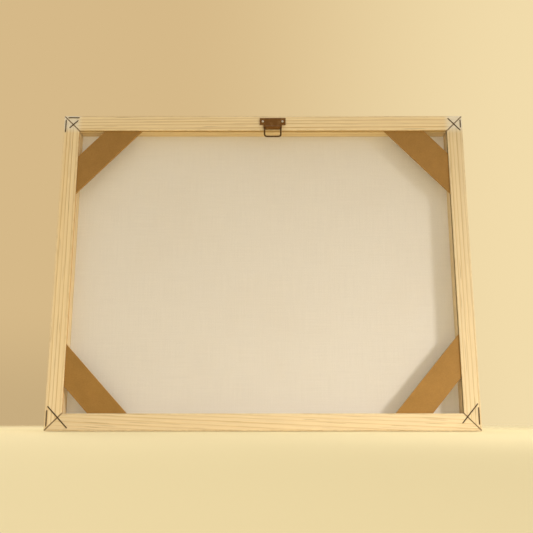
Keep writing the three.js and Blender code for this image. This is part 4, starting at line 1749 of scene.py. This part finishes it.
class MakeHanger(bpy.types.Operator):
    """Makes the hanger plate, its swinging ring and its two screws."""

    bl_idname = "printing_frame.make_hanger"
    bl_label = "Hanger"

    def execute(self, context):
        sizes, colours = context.scene.frame_sizes, context.scene.frame_colours
        worn = colours.bronze_worn
        bronze = metal_finish("lacquered_bronze", colours.bronze, worn, 0.5, 300, 0.75, 0.3, 0.5)
        plate = make_hanger_plate(sizes)
        plate.data.materials.append(bronze)
        finish_piece(plate, "frame", "bronze", "hanger_plate")
        dark = tuple(0.45 * c for c in colours.bronze)
        ring = make_ring(sizes)
        wire_metal = metal_finish("dark_bronze_wire", dark, colours.bronze, 0.6, 300, 0.75, 0.3, 0.5)
        ring.data.materials.append(wire_metal)
        finish_piece(ring, "ring", "bronze", "hanger_ring")
        dull = tuple(0.6 * c for c in colours.screw)
        bright = metal_finish("plated_screw", colours.screw, dull, 0.5, 420, 1.0, 0.18, 0.36)
        for side in ("left", "right"):
            screw = make_screw(side)
            screw.data.materials.append(bright)
            finish_piece(screw, "frame", "bright_screw", f"hanger_screw_{side}")
        return {"FINISHED"}


class SetStage(bpy.types.Operator):
    """Sets the camera, the floor, the room light and the lamps."""

    bl_idname = "printing_frame.set_stage"
    bl_label = "Studio"

    def execute(self, context):
        scene = context.scene
        studio, colours = scene.frame_studio, scene.frame_colours
        scene.view_settings.view_transform = "Standard"
        scene.view_settings.look = "None"

        lens = bpy.data.cameras.new("camera")
        lens.lens = studio.lens
        lens.sensor_width = 36
        lens.clip_start = 0.01
        camera = link("camera", lens)
        camera.location = (studio.sideways, REAR - studio.distance, studio.eye_height)
        camera.rotation_euler = (math.pi / 2 + studio.pitch, 0, 0)
        scene.camera = camera

        reach = 60.0
        bm = bmesh.new()
        bmesh.ops.create_grid(bm, x_segments=2, y_segments=2, size=reach)
        floor = link("floor", mesh_of(bm, "floor"))
        floor.data.transform(Matrix.Translation((0, 0, -0.5 * MM)))
        floor.data.materials.append(floor_finish("floor", colours))

        world = bpy.data.worlds.new("room")
        scene.world = world
        world.use_nodes = True
        nodes = world.node_tree.nodes
        links = world.node_tree.links
        nodes.clear()
        outlook = nodes.new("ShaderNodeTexCoord")
        outlook.label = "Direction in the room"
        apart = nodes.new("ShaderNodeSeparateXYZ")
        apart.label = "Sideways, away, up"
        # Painted shadow: the backdrop's left side is darkened close above the floor, where the frame's shadow
        # falls.
        painted_shadow_height = nodes.new("ShaderNodeMapRange")
        painted_shadow_height.label = "Backdrop close above the floor"
        painted_shadow_height.interpolation_type = "SMOOTHSTEP"
        painted_shadow_height.inputs["From Min"].default_value = 0.16
        painted_shadow_height.inputs["From Max"].default_value = 0.0
        painted_shadow_height.inputs["To Max"].default_value = 0.8
        shaded = nodes.new("ShaderNodeMix")
        shaded.label = "Painted shadow low on the left"
        shaded.data_type = "RGBA"
        shaded.inputs[6].default_value = (*colours.backdrop_left_shaded, 1)
        shaded.inputs[7].default_value = (*(0.82 * c for c in colours.backdrop_left_shaded), 1)
        behind = nodes.new("ShaderNodeMapRange")
        behind.label = "Room to backdrop"
        behind.interpolation_type = "SMOOTHSTEP"
        behind.inputs["From Min"].default_value = -0.1
        behind.inputs["From Max"].default_value = 0.75
        # Painted light: the backdrop is brighter towards the right, the key light's side.
        across = nodes.new("ShaderNodeMapRange")
        across.label = "Painted light, brighter to the right"
        across.interpolation_type = "SMOOTHSTEP"
        across.inputs["From Min"].default_value = -0.15
        across.inputs["From Max"].default_value = 0.38
        backdrop = nodes.new("ShaderNodeMix")
        backdrop.label = "Backdrop tone"
        backdrop.data_type = "RGBA"
        backdrop.inputs[7].default_value = (*colours.backdrop_right_lit, 1)
        room = nodes.new("ShaderNodeMix")
        room.label = "Room light"
        room.data_type = "RGBA"
        room.inputs[6].default_value = (*(studio.room_strength * c for c in colours.room_light), 1)
        high = nodes.new("ShaderNodeMapRange")
        high.label = "Overhead"
        high.interpolation_type = "SMOOTHSTEP"
        high.inputs["From Min"].default_value = 0.6
        high.inputs["From Max"].default_value = 0.95
        ceiling = nodes.new("ShaderNodeMix")
        ceiling.label = "Bright ceiling"
        ceiling.data_type = "RGBA"
        ceiling.inputs[7].default_value = (*(studio.ceiling_strength * c for c in colours.sky_light), 1)
        low = nodes.new("ShaderNodeMapRange")
        low.label = "Below the far edge of the floor"
        low.interpolation_type = "SMOOTHSTEP"
        low.inputs["From Min"].default_value = -0.03
        low.inputs["From Max"].default_value = -0.14
        ground = nodes.new("ShaderNodeMix")
        ground.label = "Tone of the lit floor"
        ground.data_type = "RGBA"
        ground.inputs[7].default_value = (*colours.far_floor, 1)
        light = nodes.new("ShaderNodeBackground")
        light.label = "Soft light from all round"
        output = nodes.new("ShaderNodeOutputWorld")
        output.label = "Room"
        links.new(outlook.outputs["Generated"], apart.inputs["Vector"])
        links.new(apart.outputs["Y"], behind.inputs["Value"])
        links.new(apart.outputs["X"], across.inputs["Value"])
        links.new(apart.outputs["Z"], painted_shadow_height.inputs["Value"])
        links.new(painted_shadow_height.outputs["Result"], shaded.inputs[0])
        links.new(across.outputs["Result"], backdrop.inputs[0])
        links.new(shaded.outputs[2], backdrop.inputs[6])
        links.new(behind.outputs["Result"], room.inputs[0])
        links.new(backdrop.outputs[2], room.inputs[7])
        links.new(apart.outputs["Z"], high.inputs["Value"])
        links.new(high.outputs["Result"], ceiling.inputs[0])
        links.new(room.outputs[2], ceiling.inputs[6])
        links.new(apart.outputs["Z"], low.inputs["Value"])
        links.new(low.outputs["Result"], ground.inputs[0])
        links.new(ceiling.outputs[2], ground.inputs[6])
        links.new(ground.outputs[2], light.inputs["Color"])
        links.new(light.outputs["Background"], output.inputs["Surface"])
        arrange(nodes, (
            ("Direction", (outlook, apart)),
            ("Backdrop", (painted_shadow_height, shaded, behind, across, backdrop, room)),
            ("Above and below", (high, ceiling, low, ground)),
            ("Light", (light, output)),
        ))

        low_right = Vector((HALF_WIDTH / 4, 0, -5 * BAR))
        middle = Vector((0, 0, HEIGHT / 2))
        lamps = (
            ("key_light", (1.27, -0.92, 0.42), low_right, 0.26, studio.key_power, studio.key_spread),
            ("rear_light", (-0.8, 1.3, 0.9), middle, 0.6, studio.rear_power, math.pi),
        )
        for name, place, aim, size, power, spread in lamps:
            lamp = bpy.data.lights.new(name, "AREA")
            lamp.shape = "DISK"
            lamp.size = size
            lamp.energy = power
            lamp.spread = spread
            lamp.color = colours.key_light
            holder = link(name, lamp)
            holder.location = place
            holder.rotation_euler = (aim - Vector(place)).to_track_quat("-Z", "Y").to_euler()
        return {"FINISHED"}


OPERATORS = (SetStage, MakeBars, MakeBraces, MakeStaples, MakeMesh, MakeCords, MakeHanger)


class FramePanel(bpy.types.Panel):
    """Lists the steps that build the printing frame."""

    bl_idname = "VIEW3D_PT_printing_frame"
    bl_label = "Printing Frame"
    bl_space_type = "VIEW_3D"
    bl_region_type = "UI"
    bl_category = "Printing Frame"

    def draw(self, context):
        for operator in OPERATORS:
            self.layout.operator(operator.bl_idname)


CLASSES = (FrameSizes, FrameColours, FrameStudio, *OPERATORS, FramePanel)


def register():
    for cls in CLASSES:
        bpy.utils.register_class(cls)
    bpy.types.Scene.frame_sizes = PointerProperty(type=FrameSizes)
    bpy.types.Scene.frame_colours = PointerProperty(type=FrameColours)
    bpy.types.Scene.frame_studio = PointerProperty(type=FrameStudio)


def unregister():
    del bpy.types.Scene.frame_studio
    del bpy.types.Scene.frame_colours
    del bpy.types.Scene.frame_sizes
    for cls in reversed(CLASSES):
        bpy.utils.unregister_class(cls)


def main():
    register()
    bpy.ops.printing_frame.set_stage()
    bpy.ops.printing_frame.make_bars()
    bpy.ops.printing_frame.make_braces()
    bpy.ops.printing_frame.make_staples()
    bpy.ops.printing_frame.make_mesh()
    bpy.ops.printing_frame.make_cords()
    bpy.ops.printing_frame.make_hanger()


if __name__ == "__main__":
    main()
